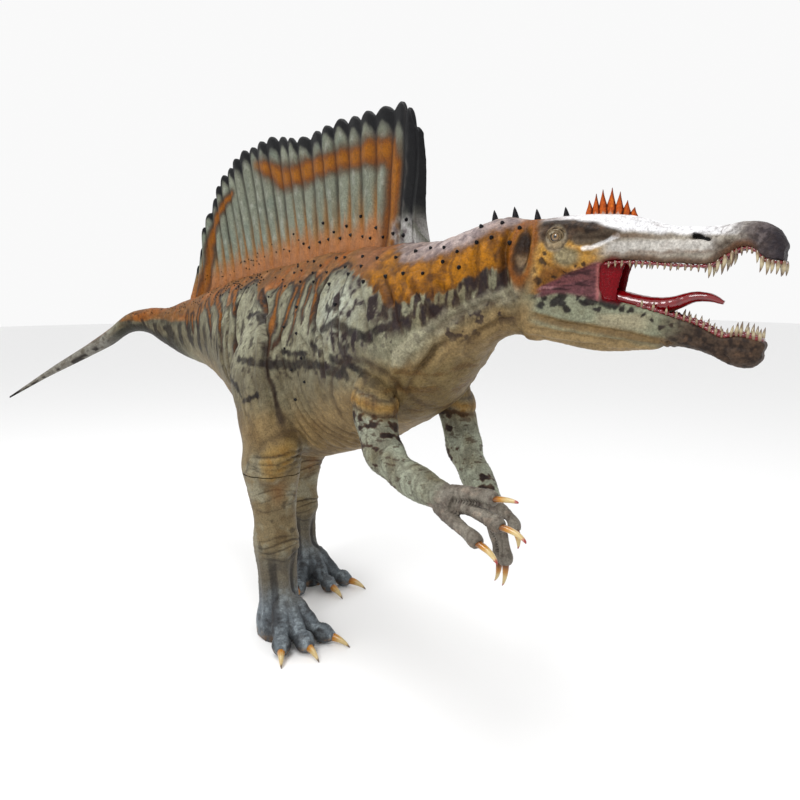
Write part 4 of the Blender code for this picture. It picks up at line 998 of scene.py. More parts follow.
def paint_leg(paint, points, stations, foot, creases):
    """Shades the lower legs: brown-grey shins, ochre knees and blue-grey feet with speckled edges."""
    limb = settings("limbs")
    z, turn, _ = leg_place(points, stations)
    fine = rough(points, 0.022, 3, 41)
    blur = rough(points, 0.08, 3, 42)
    on_leg = step(0.98, 0.84, z)
    paint.lay(limb.shin_colour, on_leg * 0.95)
    paint.lay(srgb(156, 154, 138), on_leg * step(-0.1, 0.45, blur + 0.4 * fine) * 0.6)
    paint.lay(srgb(96, 78, 54), on_leg * step(0.05, 0.5, rough(points, (0.07, 0.07, 0.07), 3, 43)) * 0.5)
    knee = knee_distance(z, turn)
    paint.lay(srgb(148, 126, 82), step(1.2, 0.6, knee + 0.25 * fine) * 0.7)
    paint.lay(srgb(140, 104, 46), step(0.9, 0.4, knee) * step(-0.3, 0.4, fine) * 0.5)
    paint.lay(srgb(70, 52, 34), bump(knee - 1.22, 0.20) * 0.28)
    for _, width, above, strength in wrinkles(points, z, turn):
        paint.lay(srgb(44, 32, 26), bump(above, width * 0.55) * strength * 0.75)
    paint.lay(srgb(132, 92, 52), bump(z - 0.70, 0.06) * bump(turn + 0.2, 0.4) * 0.45)
    paint.lay(BLACK, on_leg * step(0.30, 0.48, rough(points, 0.055, 3, 44)) * step(0.20, 0.4, z) * 0.45)
    paint.lay(srgb(104, 100, 92), step(0.46, 0.34, z) * 0.75)
    feet = step(0.30, 0.12, z)
    paint.lay(limb.foot_colour, feet * 0.95)
    paint.lay(srgb(160, 168, 172), feet * step(-0.05, 0.35, fine + 0.3 * blur) * 0.6)
    paint.lay(srgb(64, 60, 60), feet * step(0.10, 0.5, rough(points, 0.035, 3, 45)) * 0.5)
    paint.lay(srgb(150, 124, 98), step(0.050, 0.020, z) * step(-0.2, 0.3, fine) * 0.8)
    tendons = np.cos(turn * TENDON_COUNT)
    paint.lay(srgb(44, 42, 44), step(-0.2, -0.8, tendons) * step(0.46, 0.30, z) * step(0.06, 0.14, z)
        * step(-0.2, 0.4, np.cos(turn)) * 0.6)
    out, across = toe_places(points, foot)
    groove = step(0.024, 0.038, np.abs(across)) * step(0.04, 0.1, out) * feet
    paint.lay(BLACK, groove * 0.55)
    paint.lay(BLACK, np.clip(-creases, 0, 1) * on_leg * 0.35)


def seated(points, places, seat):
    """Moves the points at these places onto the smooth form that the skin was grown from."""
    for index in np.nonzero(places)[0]:
        found = seat.find_nearest(Vector(points[index]))[0]
        if found:
            points[index] = found
    return points


def body_tube(name, places, sides):
    """The smooth form of trunk, neck or tail at these places along the spine."""
    return rolled(name, bent(body_rings(
        places, BACK_HEIGHT, BELLY_HEIGHT, BODY_HALF_WIDTH, WIDEST_SHARE, 2.0, 2.0, sides)))


def cut_leg(whole, name, stations, foot, way):
    """A lower leg cut from the body's skin, given its finer creases and finished."""
    leg = copy_of(whole, name)
    cut(leg, (0, 0, LEG_CUT_HEIGHT), (0, 0, 1))
    keep_where(leg, (points_of(leg)[:, 1] - HIP[1]) * way > 0)
    in_edit(leg, lambda: bpy.ops.mesh.subdivide(number_cuts=1))
    points = points_of(leg)
    inner = step(LEG_CUT_HEIGHT, LEG_CUT_HEIGHT - 0.06, points[:, 2])
    creases = leg_fine(points, stations)
    scutes, grooves = toe_relief(points, foot)
    relief = (
        (0.0012 * creases * step(0.10, 0.2, points[:, 2]) + 0.0008 * rough(points, 0.012, 2, 34)) * inner)
    relief = (relief + scutes) * step(0.0, 0.02, points[:, 2])
    move_points(leg, points + normals_of(leg) * relief[:, None])
    paint = paint_body(points, straightened(points), creases * 0)
    paint_leg(paint, points, stations, foot, np.minimum(creases * inner * 0.4 + grooves, 0))
    paint.put_on(leg)
    finished(leg, "limb_skin", skin("limb skin", 1.0), name)


def build_body():
    """The trunk with its thighs. Both lower legs are cut from the same skin, and finished here."""
    trunk = body_tube("trunk", np.linspace(TAIL_ROOT - 0.06, NECK_ROOT + 0.06, 200), 96)
    seat = BVHTree.FromObject(trunk, bpy.context.evaluated_depsgraph_get())
    legs = []
    for name, stations, foot, _ in LEGS:
        legs.append(leg_tube(name + "_shin", stations))
        for index, spread in enumerate(foot.spreads):
            legs.append(toe_tube("%s_toe_%d" % (name, index + 1), foot, spread))
    whole = fused("torso", [trunk, *legs], BODY_VOXEL, 4)
    points = points_of(whole)
    place = straightened(points)
    ends = np.minimum(np.abs(place[:, 0] - TAIL_ROOT), np.abs(place[:, 0] - NECK_ROOT)) < 0.05
    points = seated(points, ends, seat)
    points[:, 2] = np.maximum(points[:, 2], 0)
    move_points(whole, points)
    relief, creases = body_relief(points, place)
    for _, stations, _, _ in LEGS:
        share = near_leg(points, stations)
        relief = relief * (1 - share) + leg_relief(points, stations) * share
    relief *= step(0.0, 0.03, points[:, 2])
    points = points + normals_of(whole) * relief[:, None]
    points[:, 2] = np.maximum(points[:, 2], 0)
    move_points(whole, points)
    cut_across_spine(whole, TAIL_ROOT, True)
    cut_across_spine(whole, NECK_ROOT, False)
    for name, stations, foot, way in LEGS:
        cut_leg(whole, name + "_leg", stations, foot, way)
    cut(whole, (0, 0, LEG_CUT_HEIGHT), (0, 0, -1))
    points = points_of(whole)
    place = straightened(points)
    _, creases = body_relief(points, place)
    paint = paint_body(points, place, creases)
    for _, stations, foot, _ in LEGS:
        mine = Paint(len(points), PALE)
        mine.colour = paint.colour.copy()
        paint_leg(mine, points, stations, foot, np.zeros(len(points)))
        paint.colour += (mine.colour - paint.colour) * near_leg(points, stations)[:, None]
    paint.put_on(whole)
    return whole


def build_tail():
    """The tail, from its root on the trunk to the tip."""
    along = np.concatenate([np.linspace(TAIL_TIP, -2.2, 90)[:-1], np.linspace(-2.2, TAIL_ROOT, 240)])
    piece = body_tube("tail", along, 112)
    points = points_of(piece)
    place = straightened(points)
    relief, creases = body_relief(points, place)
    move_points(piece, points + normals_of(piece) * relief[:, None])
    paint_body(points, place, creases).put_on(piece)
    return piece


HOLLOW = ((1.585, 1.787), (1.625, 1.785), (1.67, 1.793))       # in front of the eye
NOSTRIL = ((1.925, 1.789), (1.945, 1.785), (1.968, 1.777))
FACE_FOLDS = (        # line, depth, width
    (((1.46, 1.80), (1.475, 1.74), (1.52, 1.705), (1.58, 1.700)), 0.006, 0.008),
    (((1.45, 1.745), (1.48, 1.705), (1.53, 1.68)), 0.005, 0.008),
    (((1.52, 1.765), (1.56, 1.745), (1.62, 1.735)), 0.005, 0.007),
    (((2.00, 1.735), (2.03, 1.765), (2.05, 1.80)), 0.005, 0.010),
)
THROAT_FOLDS = (
    (((1.44, 1.540), (1.55, 1.512), (1.70, 1.492), (1.86, 1.462)), 0.007, 0.009),
    (((1.40, 1.500), (1.55, 1.478), (1.70, 1.462), (1.84, 1.452)), 0.006, 0.008),
    (((1.40, 1.470), (1.52, 1.452), (1.66, 1.444)), 0.005, 0.008),
    (((1.86, 1.500), (1.93, 1.478), (2.00, 1.450), (2.04, 1.42)), 0.005, 0.008),
)


def ear_distance(u, v):
    """How far from the ear's middle, 1 at its edge."""
    return np.hypot((u - 1.387) / 0.03, (v - 1.755) / 0.075)


def crease(u, v, line, depth, width):
    """One fold that keeps its depth to both ends."""
    away, _ = near(u, v, line)
    return depth * (0.5 * bump(away - 1.9 * width, width) - bump(away, 0.8 * width))


def head_relief(points, place):
    """Brow, eye socket, cheek hollows, nostril, lips, the mouth's corner and the throat's folds."""
    along, side, height = place.T
    u = along + 0.004 * rough(points, 0.04, 2, 51)
    v = height + 0.004 * rough(points, 0.04, 2, 52)
    across = np.abs(side)
    flank = step(0.015, 0.035, across)
    on_head = step(1.36, 1.42, along)
    relief = 0.004 * rough(points, 0.09, 2, 53)
    eye = np.hypot(u - EYE[0], v - EYE[2])
    relief -= 0.010 * bump(eye, 0.020)
    brow, _ = near(u, v, ((1.44, 1.836), (1.50, 1.834), (1.56, 1.826), (1.62, 1.812), (1.70, 1.806)))
    relief += 0.010 * bump(brow, 0.013) * flank
    for radius, depth in ((0.040, 0.004), (0.053, 0.004), (0.066, 0.003)):
        relief -= depth * bump(eye - radius, 0.005) * step(1.80, 1.775, v)
    hollow, _ = near(u, v, ((1.585, 1.785), (1.625, 1.782), (1.67, 1.792)))
    relief -= 0.014 * bump(hollow, 0.020)
    rim, _ = near(u, v, ((1.57, 1.755), (1.62, 1.753), (1.66, 1.768), (1.72, 1.790)))
    relief += 0.007 * bump(rim, 0.009)
    groove, _ = near(u, v, ((1.70, 1.796), (1.80, 1.790), (1.90, 1.788)))
    relief -= 0.004 * bump(groove, 0.010) * flank
    nostril, _ = near(u, v, NOSTRIL)
    relief += 0.005 * bump(nostril - 0.016, 0.007) * flank
    relief -= 0.012 * bump(nostril, 0.007) * flank
    lip = smooth(UPPER_LIP_HEIGHT, along)
    relief += 0.0055 * bump(v - lip - 0.012, 0.010) * step(1.50, 1.56, along) * step(2.17, 2.12, along)
    relief -= 0.003 * bump(v - lip - 0.032, 0.008) * step(1.60, 1.66, along)
    for line, depth, width in FACE_FOLDS:
        relief += crease(u, v, line, depth, width)
    ear = ear_distance(u, v)
    relief -= 0.016 * step(1.15, 0.55, ear) * flank
    relief += 0.008 * bump(ear - 1.35, 0.28) * flank
    low = smooth(LOWER_LIP_HEIGHT, along)
    below = (v - low) < 0.0
    relief += 0.004 * bump(v - low + 0.012, 0.009) * step(1.60, 1.66, along)
    relief -= 0.004 * bump(v - low + 0.034, 0.007) * step(1.50, 1.60, along) * below
    for line, depth, width in THROAT_FOLDS:
        relief += crease(u, v, line, depth, width) * below
    cracked = ridged(points, (0.020, 0.020, 0.016), 54)
    throat = step(1.56, 1.50, v) * step(1.95, 1.6, along)
    stretched = np.stack([along * 0.25, side, height], 1)
    streaks = ridged(stretched, (0.03, 0.05, 0.013), 55)
    creases = streaks * throat * 0.8 + cracked * (1 - throat) * 0.6
    relief += 0.0016 * creases + 0.0009 * rough(points, 0.010, 2, 56)
    return relief * on_head, creases


def inside_mouth(place):
    """1 on the palate, the mouth's floor and the insides of its corners, else 0."""
    along, side, height = place.T
    across = np.abs(side)
    skull, jaw = smooth(SKULL_HALF_WIDTH, along), smooth(JAW_HALF_WIDTH, along)
    lip, low = smooth(UPPER_LIP_HEIGHT, along), smooth(LOWER_LIP_HEIGHT, along)
    above = step(0.010, 0.002, height - lip) * step(-0.020, -0.010, height - (lip + low) / 2)
    above *= step(skull - 0.006, skull - 0.016, across) * step(2.16, 2.13, along)
    under = step(-0.010, -0.002, height - low) * step(0.020, 0.010, height - (lip + low) / 2)
    under *= step(jaw - 0.006, jaw - 0.016, across) * step(2.11, 2.09, along)
    return np.maximum(above, under)


CHEEK_BLOTCHES = (    # along, height, radius
    (1.465, 1.715, 0.015), (1.45, 1.655, 0.016), (1.50, 1.668, 0.009), (1.60, 1.712, 0.009),
    (1.47, 1.745, 0.010), (1.575, 1.70, 0.007), (1.54, 1.685, 0.006), (1.44, 1.69, 0.010),
)
JAW_BLOTCHES = (      # along, height, radius
    (1.46, 1.575, 0.017), (1.475, 1.60, 0.012), (1.505, 1.585, 0.016), (1.525, 1.60, 0.018),
    (1.53, 1.575, 0.014), (1.55, 1.562, 0.013), (1.58, 1.603, 0.010), (1.60, 1.585, 0.014),
    (1.625, 1.592, 0.019), (1.645, 1.565, 0.012), (1.665, 1.588, 0.018), (1.69, 1.575, 0.017),
    (1.70, 1.588, 0.014), (1.75, 1.563, 0.010), (1.72, 1.57, 0.010), (1.43, 1.605, 0.014),
    (1.84, 1.505, 0.010), (1.87, 1.515, 0.009), (1.78, 1.545, 0.006), (1.81, 1.53, 0.006),
)


# The bright edge of the skull's roof: above it the crown faces up and gets a painted sky reflection, below
# it the brow gets painted shade.
CROWN_EDGE = (
    (1.40, 1.852), (1.60, 1.845), (1.70, 1.815), (1.80, 1.805), (1.90, 1.797), (1.97, 1.79), (2.2, 1.80),
)


class OnHead:
    """Where points lie on the head, and the noise that its colours follow."""

    def __init__(self, points, place):
        self.points = points
        self.along, self.side, self.height = place.T
        self.fine = rough(points, 0.014, 3, 61)
        self.blur = rough(points, 0.045, 3, 62)
        self.u = self.along + 0.009 * rough(points, 0.04, 3, 63)
        self.v = self.height + 0.007 * rough(points, 0.04, 3, 64)
        self.warp = [0.011 * rough(points, 0.014, 3, seed) for seed in (73, 74)]
        self.lip, self.low = smooth(UPPER_LIP_HEIGHT, self.along), smooth(LOWER_LIP_HEIGHT, self.along)
        head = step(1.40, 1.46, self.u)
        middle = (self.lip + self.low) / 2
        self.upper = head * step(-0.004, 0.004, self.v - middle)
        self.lower = head * step(0.004, -0.004, self.v - middle)

    def blotches(self, paint, colour, places, mask, long=1.0, outer=1.0, inner=0.5):
        """Lays ragged blotches at places (along, height, radius)."""
        for along, height, size in places:
            spot = np.hypot((self.u - along + self.warp[0]) * long, self.v - height + self.warp[1])
            paint.lay(colour, mask * step(size * outer, size * inner, spot))


def paint_crown(paint, look, at):
    """Ochre cheek, a brown brow darkened by painted shade under the crown's edge, and a whitish crown
    brightened by a painted sky reflection.
    """
    u, v, fine, blur, upper = at.u, at.v, at.fine, at.blur, at.upper
    crown = smooth(CROWN_EDGE, at.along)
    paint.lay(srgb(156, 150, 140), upper)
    paint.lay(look.cheek_colour, upper * step(1.70, 1.60, u) * step(1.80, 1.775, v) * 0.95)
    paint.lay(srgb(172, 132, 72), upper * step(1.70, 1.60, u) * step(1.785, 1.765, v)
        * step(0.0, 0.4, fine) * 0.7)
    paint.lay(srgb(112, 74, 38), upper * step(1.66, 1.56, u) * step(1.735, 1.68, v)
        * step(-0.3, 0.4, blur) * 0.8)
    green = np.hypot((u - 1.545) / 0.050, (v - 1.732) / 0.034)
    paint.lay(srgb(144, 138, 116), step(1.2, 0.6, green) * 0.9)
    # The brow just under the crown's edge: brown paint deepened by painted shade, darkest in a strip right
    # under the edge.
    brow = upper * step(1.74, 1.67, u) * step(1.772, 1.790, v) * step(0.008, -0.006, v - crown)
    paint.lay(srgb(84, 66, 50), brow * 0.95)
    paint.lay(srgb(40, 32, 28), brow * step(1.792, 1.812, v) * step(0.45, -0.25, fine) * 0.85)
    # The top of the skull: whitish paint lightened to near white as a painted sky reflection where it faces
    # up.
    top = upper * step(-0.010, 0.006, v - crown)
    paint.lay(look.crown_colour, top * step(2.10, 1.99, u) * (0.92 + 0.2 * blur))
    paint.lay(srgb(160, 150, 150), top * step(0.15, 0.6, fine) * step(2.08, 1.98, u) * 0.2)
    paint.lay(srgb(112, 94, 88), top * step(1.56, 1.42, u + 0.04 * blur) * 0.8)
    paint.lay(srgb(70, 56, 56), top * step(1.50, 1.42, u) * step(0.0, 0.4, fine) * 0.7)


def paint_face(paint, look, at):
    """The hollow before the eye in painted shade with a painted highlight on its raised rim, a painted
    shadow in the groove along the snout, the white side of the snout and the dark lip.
    """
    u, v, fine, upper, lip = at.u, at.v, at.fine, at.upper, at.lip
    hollow, _ = near(u, v, HOLLOW)
    # The hollow before the eye: painted shade, darkest under its upper edge.
    paint.lay(srgb(104, 94, 82), upper * step(0.028, 0.014, hollow) * 0.9)
    paint.lay(srgb(66, 54, 44), upper * step(0.020, 0.008, hollow) * step(1.785, 1.797, v) * 0.7)
    # The raised rim below the hollow: painted highlight.
    rim, _ = near(u, v, ((1.60, 1.757), (1.62, 1.758), (1.66, 1.775), (1.70, 1.795)))
    paint.lay(look.crown_colour, upper * step(0.011, 0.004, rim) * 0.7)
    # The groove along the snout: painted shadow.
    groove, _ = near(u, v, ((1.69, 1.797), (1.80, 1.792), (1.92, 1.788)))
    paint.lay(srgb(112, 92, 74), upper * step(0.011, 0.003, groove) * step(1.90, 1.72, u) * 0.7)
    side_white = (
        upper * step(1.62, 1.70, u) * step(1.730, 1.742, v) * step(1.786, 1.770, v) * step(2.03, 1.97, u))
    paint.lay(srgb(196, 193, 188), side_white * 0.85)
    paint.lay(srgb(160, 150, 142), side_white * step(0.12, 0.6, fine) * 0.25)
    paint.lay(srgb(120, 102, 86), side_white * step(1.752, 1.738, v + 0.01 * fine) * 0.7)
    paint.lay(srgb(96, 72, 54), upper * step(1.60, 1.68, u) * step(0.030, 0.014, v - lip) * 0.8)


def paint_snout(paint, at):
    """The mottled grey end of the snout, with its nostrils painted near black as the shade inside their
    openings.
    """
    points, u, v, fine, upper, lip = at.points, at.u, at.v, at.fine, at.upper, at.lip
    snout = step(2.02, 2.13, u + 0.03 * at.blur)
    paint.lay(srgb(104, 96, 98), upper * snout * 0.92)
    paint.lay(srgb(60, 54, 58), upper * snout * step(-0.05, 0.45, fine + snout * 0.25) * 0.8)
    cracks = bump(rough(points, (0.020, 0.020, 0.026), 3, 65), 0.10)
    paint.lay(srgb(84, 74, 70), upper * step(1.90, 2.02, u) * cracks * 0.55)
    paint.lay(srgb(92, 78, 66), upper * step(1.97, 2.0, u) * step(2.10, 2.04, u) * step(1.785, 1.76, v)
        * 0.6)
    paint.lay(srgb(104, 76, 56), upper * step(1.99, 2.03, u) * step(0.030, 0.010, v - lip)
        * step(2.12, 2.09, u) * 0.8)
    paint.lay(srgb(56, 52, 58), upper * step(2.12, 2.17, u) * 0.85)
    # The nostril: near-black painted shade in place of a deep opening.
    nostril, _ = near(u, v, NOSTRIL)
    paint.lay(srgb(10, 8, 8), upper * step(0.0080, 0.005, nostril))


def paint_eye_and_ear(paint, at):
    """Dark blotches behind the mouth, a pale ring round the eye, and a dark ear hollow with painted shade
    in its upper half and painted light on its lower half.
    """
    u, v, along, height = at.u, at.v, at.along, at.height
    at.blotches(paint, BLACK, CHEEK_BLOTCHES, at.upper * 0.8)
    paint.lay(srgb(148, 140, 124), step(0.048, 0.036, np.hypot(along - EYE[0], height - EYE[2] + 0.008))
        * 0.8)
    paint.lay(srgb(58, 44, 34), bump(np.hypot(along - EYE[0], height - EYE[2]) - 0.041, 0.004) * 0.55)
    ear = ear_distance(u, v)
    paint.lay(srgb(136, 88, 36), bump(ear - 1.35, 0.35) * 0.85)
    paint.lay(srgb(60, 40, 26), step(1.15, 0.8, ear) * 0.8)
    # In the ear's hollow: painted shade in the upper half, painted light on the lower half.
    paint.lay(srgb(26, 20, 20), step(1.0, 0.6, ear) * step(1.72, 1.78, v) * 0.85)
    paint.lay(srgb(150, 134, 112), step(0.9, 0.5, ear) * step(1.75, 1.715, v) * 0.8)


def paint_jaw(paint, look, at):
    """The blotched side of the lower jaw over a streaked throat, and the brown chin."""
    points, u, v, fine, blur, lower = at.points, at.u, at.v, at.fine, at.blur, at.lower
    paint.lay(look.jaw_colour, lower)
    paint.lay(srgb(116, 110, 88), lower * step(0.0, 0.5, blur) * 0.4)
    pale = lower * step(1.62, 1.67, u) * step(1.84, 1.76, u) * step(1.48, 1.51, v) * step(1.56, 1.54, v)
    paint.lay(srgb(164, 156, 134), pale * 0.7)
    line, _ = near(u, v, ((1.40, 1.545), (1.55, 1.51), (1.70, 1.49), (1.86, 1.46)))
    paint.lay(srgb(130, 102, 62), lower * step(0.022, 0.006, line) * 0.7)
    under = step(1.38, 1.42, u) * step(0.0, -0.02, v - smooth(
        ((1.38, 1.535), (1.55, 1.50), (1.70, 1.48), (1.86, 1.45), (2.2, 1.38)), at.along))
    paint.lay(srgb(158, 138, 104), under * 0.9)
    at.blotches(paint, srgb(30, 26, 28), JAW_BLOTCHES, lower * 0.9, 0.8, 1.1, 0.6)
    chin = step(1.80, 1.94, u + 0.03 * blur + 0.3 * (1.50 - v))
    paint.lay(srgb(82, 66, 56), lower * chin * 0.95)
    paint.lay(srgb(46, 38, 36), lower * chin * step(-0.1, 0.4, fine) * 0.8)
    paint.lay(srgb(120, 98, 80), lower * chin * step(0.2, 0.5, rough(points, 0.018, 3, 66)) * 0.5)


def paint_mouth(paint, look, at, mouth):
    """The mouth's corner, the gums and the red inside. Gives how far each point is inside."""
    points, along, side, u, v, lip, low = at.points, at.along, at.side, at.u, at.v, at.lip, at.low
    open_by = np.clip((lip - low) / 0.04, 0, 1)
    web = step(1.43, 1.47, along) * step(-0.016 * open_by - 0.004, -0.002, v - low)
    web *= step(0.020 * open_by + 0.004, 0.004, v - lip) * step(1.72, 1.70, along)
    outer = web * step(1.657, 1.632, u)
    paint.lay(srgb(108, 70, 76), outer * 0.95)
    paint.lay(srgb(164, 130, 132), outer * step(0.1, 0.4, rough(points, (0.06, 0.06, 0.010), 3, 67)) * 0.6)
    paint.lay(srgb(52, 30, 34), outer * step(0.1, 0.4, rough(points, (0.06, 0.06, 0.012), 3, 69)) * 0.8)
    paint.lay(srgb(178, 120, 120), bump(u - 1.642, 0.006) * web * 0.7)
    paint.lay(look.mouth_colour, web * step(1.647, 1.657, u))
    gum = np.maximum(
        bump(v - lip + 0.004, 0.005) * step(1.62, 1.68, along), bump(v - low - 0.004, 0.005)
        * step(1.70, 1.80, along))
    paint.lay(look.gum_colour, gum * 0.8)
    half = np.minimum(smooth(SKULL_HALF_WIDTH, along), smooth(JAW_HALF_WIDTH, along))
    mouth = mouth * (1 - web * step(1.657, 1.642, along) * step(half - 0.020, half - 0.017, np.abs(side)))
    paint.lay(look.mouth_colour, mouth)
    wall = step(half - 0.019, half - 0.022, np.abs(side)) * web
    paint.lay(look.mouth_colour, wall)
    mouth = np.maximum(mouth, wall)
    paint.rub(0.22, np.maximum(mouth, 0.7 * gum))
    return mouth


def paint_head(points, place, creases):
    """The whole head over the neck's colours, with paint that has settled in the creases."""
    look = settings("head")
    at = OnHead(points, place)
    along = at.along
    paint = paint_body(points, place, creases * 0)
    paint_crown(paint, look, at)
    paint_face(paint, look, at)
    paint_snout(paint, at)
    paint_eye_and_ear(paint, at)
    paint_jaw(paint, look, at)
    mouth = paint_mouth(paint, look, at, inside_mouth(place))
    paint.lay(srgb(60, 48, 42), np.clip(-creases, 0, 1) * (1 - mouth) * step(1.40, 1.46, along) * 0.22)
    paint.lay(BROWN, np.clip(-creases, 0, 1) * (1 - mouth) * (0.12 + 0.25 * step(1.46, 1.40, along)))
    paint.shade(1 + 0.16 * rough(points, 0.008, 2, 68))
    return paint


JAWS_START, MEMBRANE_START = 1.385, 1.38       # inside the neck
CORNER_EDGE = ((-1, 1.662), (-0.4, 1.646), (0.1, 1.642), (0.6, 1.644), (1, 1.654))
THROAT_EDGE = ((-1, 1.695), (-0.4, 1.698), (0.1, 1.706), (0.6, 1.716), (1, 1.730))


def membrane(side, edge, inset):
    """Skin that closes the mouth behind its corner, out to an edge of (share of the way up, along)."""
    share = np.linspace(-1, 1, 22)[:, None]
    front = smooth(edge, share)
    along = MEMBRANE_START + (front - MEMBRANE_START) * np.linspace(0, 1, 40)[None]
    lip, low = smooth(UPPER_LIP_HEIGHT, along), smooth(LOWER_LIP_HEIGHT, along)
    half = np.minimum(smooth(SKULL_HALF_WIDTH, along), smooth(JAW_HALF_WIDTH, along)) - inset
    height = (lip + low) / 2 + share * ((lip - low) / 2 + 0.012)
    thick = 0.0065 * np.sqrt(np.clip((front - along) / 0.02, 0, 1))
    outer = np.stack([along, side * (half + thick), height], -1)
    inner = np.stack([along, side * (half - thick - 0.002), height], -1)
    return rolled("membrane", bent(np.concatenate([outer, inner[:, ::-1]], 1)))


def lid_ring(radius, thick, out, side, droop):
    """A fold of skin round the eye."""
    turn = np.linspace(0, 2 * np.pi, 49)[:, None]
    around = (2 * np.pi * np.arange(12) / 12)[None]
    thick = thick * (1 + 0.25 * np.sin(turn))
    reach = radius * (1 + 0.06 * np.cos(2 * turn)) + thick * np.cos(around)
    rings = np.stack([
        EYE[0] + reach * np.cos(turn),
        side * (EYE[1] + out - 0.14 * radius * np.abs(np.cos(turn)) + thick * np.sin(around)),
        EYE[2] + reach * np.sin(turn) * (1 - droop * (np.sin(turn) > 0)),
    ], -1)
    return rolled("lid", bent(rings))


def eyelids(side):
    """Two thick lids, and the folds round them."""
    return [
        lid_ring(0.0175, 0.0045, 0.0155, side, 0.12), lid_ring(0.0245, 0.0042, 0.0115, side, 0.08),
        lid_ring(0.0315, 0.0042, 0.0060, side, 0.0),
    ]


def jaw_places(straight_end, tip, count, rounding):
    """Places along the skull or the jaw, closer together where the tip rounds off."""
    rounded = straight_end + (tip - straight_end) * np.sin(np.linspace(0.2, np.pi / 2, rounding))
    return np.concatenate([np.linspace(JAWS_START, straight_end, count), rounded])


def skull_rings():
    """The skull with its vaulted palate."""
    along = jaw_places(2.16, SNOUT_TIP, 150, 9)
    skull = body_rings(along, SKULL_HEIGHT, UPPER_LIP_HEIGHT, SKULL_HALF_WIDTH, 0.38, 2.0, 3.6, 84)
    lip, half = (smooth(line, along)[:, None] for line in (UPPER_LIP_HEIGHT, SKULL_HALF_WIDTH))
    vault = step(0.030, -0.004, skull[..., 2] - lip) * step(0.9, 0.3, np.abs(skull[..., 1]) / half)
    skull[..., 2] += 0.016 * vault * step(1.50, 1.62, along)[:, None] * step(2.17, 2.12, along)[:, None]
    return skull


def jaw_rings():
    """The lower jaw with its hollow floor."""
    along = jaw_places(2.11, JAW_TIP, 140, 8)
    jaw = body_rings(along, LOWER_LIP_HEIGHT, THROAT_HEIGHT, JAW_HALF_WIDTH, 0.62, 3.6, 2.0, 84)
    low, half = (smooth(line, along)[:, None] for line in (LOWER_LIP_HEIGHT, JAW_HALF_WIDTH))
    floor = step(-0.030, 0.004, jaw[..., 2] - low) * step(0.9, 0.3, np.abs(jaw[..., 1]) / half)
    jaw[..., 2] -= 0.012 * floor * step(1.60, 1.72, along)[:, None] * step(2.12, 2.07, along)[:, None]
    return jaw


def blunted(place):
    """Places on the head with the tips of snout and chin flattened."""
    blunt = np.where(
        place[:, 2] > 1.62, smooth(((1.69, 2.176), (1.74, 2.182), (1.80, 2.20)), place[:, 2]),
        smooth(((1.38, 2.128), (1.42, 2.136), (1.50, 2.137)), place[:, 2]))
    place[:, 0] = np.minimum(place[:, 0], blunt)
    return place


def painted_lids():
    """The eyelids of both sides as one piece."""
    lids = joined("lids", eyelids(-1) + eyelids(1))
    modified(lids, "SUBSURF", levels=1, render_levels=1)
    points = points_of(lids)
    paint = Paint(len(points), srgb(120, 106, 86), 0.42)
    paint.lay(srgb(40, 32, 28), step(0.0, 0.5, rough(points, 0.009, 2, 71)) * 0.6)
    paint.lay(srgb(176, 168, 150), step(0.2, 0.6, rough(points, 0.012, 2, 72)) * 0.6)
    paint.put_on(lids)
    return lids


def build_head():
    """The neck, and the head with its jaw, mouth and lids, from one skin."""
    neck = body_tube("neck tube", np.linspace(NECK_ROOT - 0.12, NECK_END + 0.03, 110), 96)
    seat = BVHTree.FromObject(neck, bpy.context.evaluated_depsgraph_get())
    skull, jaw = rolled("skull", bent(skull_rings())), rolled("jaw", bent(jaw_rings()))
    corners = [membrane(side, CORNER_EDGE, 0.011) for side in (-1, 1)]
    walls = [membrane(side, THROAT_EDGE, 0.028) for side in (-1, 1)]
    whole = fused("neck", [neck, skull, jaw, *corners, *walls], HEAD_VOXEL, 3)
    place = blunted(straightened(points_of(whole)))
    points = bent(place)
    points = seated(points, np.abs(place[:, 0] - NECK_ROOT) < 0.04, seat)
    move_points(whole, points)
    neck_part, neck_creases = body_relief(points, place)
    head_part, head_creases = head_relief(points, place)
    share = step(1.38, 1.50, place[:, 0])
    mouth = inside_mouth(place)
    relief = (neck_part * (1 - share) + head_part) * (1 - 0.9 * mouth)
    creases = (neck_creases * (1 - share) + head_creases * share) * (1 - mouth)
    move_points(whole, points + normals_of(whole) * relief[:, None])
    paint_head(points, place, creases).put_on(whole)
    head = copy_of(whole, "head")
    cut_across_spine(head, NECK_END, True)
    cut_across_spine(whole, NECK_END, False)
    cut_across_spine(whole, NECK_ROOT, True)
    return whole, joined("head", [head, painted_lids()])


def arm_relief(points):
    """Soft muscles, and creases across the forearm."""
    slanted = np.stack([points[:, 0] + 0.25 * points[:, 2], points[:, 1], points[:, 2]], 1)
    creases = ridged(slanted, (0.022, 0.07, 0.09), 81)
    relief = 0.005 * rough(points, 0.09, 2, 82) + 0.0014 * creases + 0.0008 * rough(points, 0.012, 2, 83)
    return relief, creases


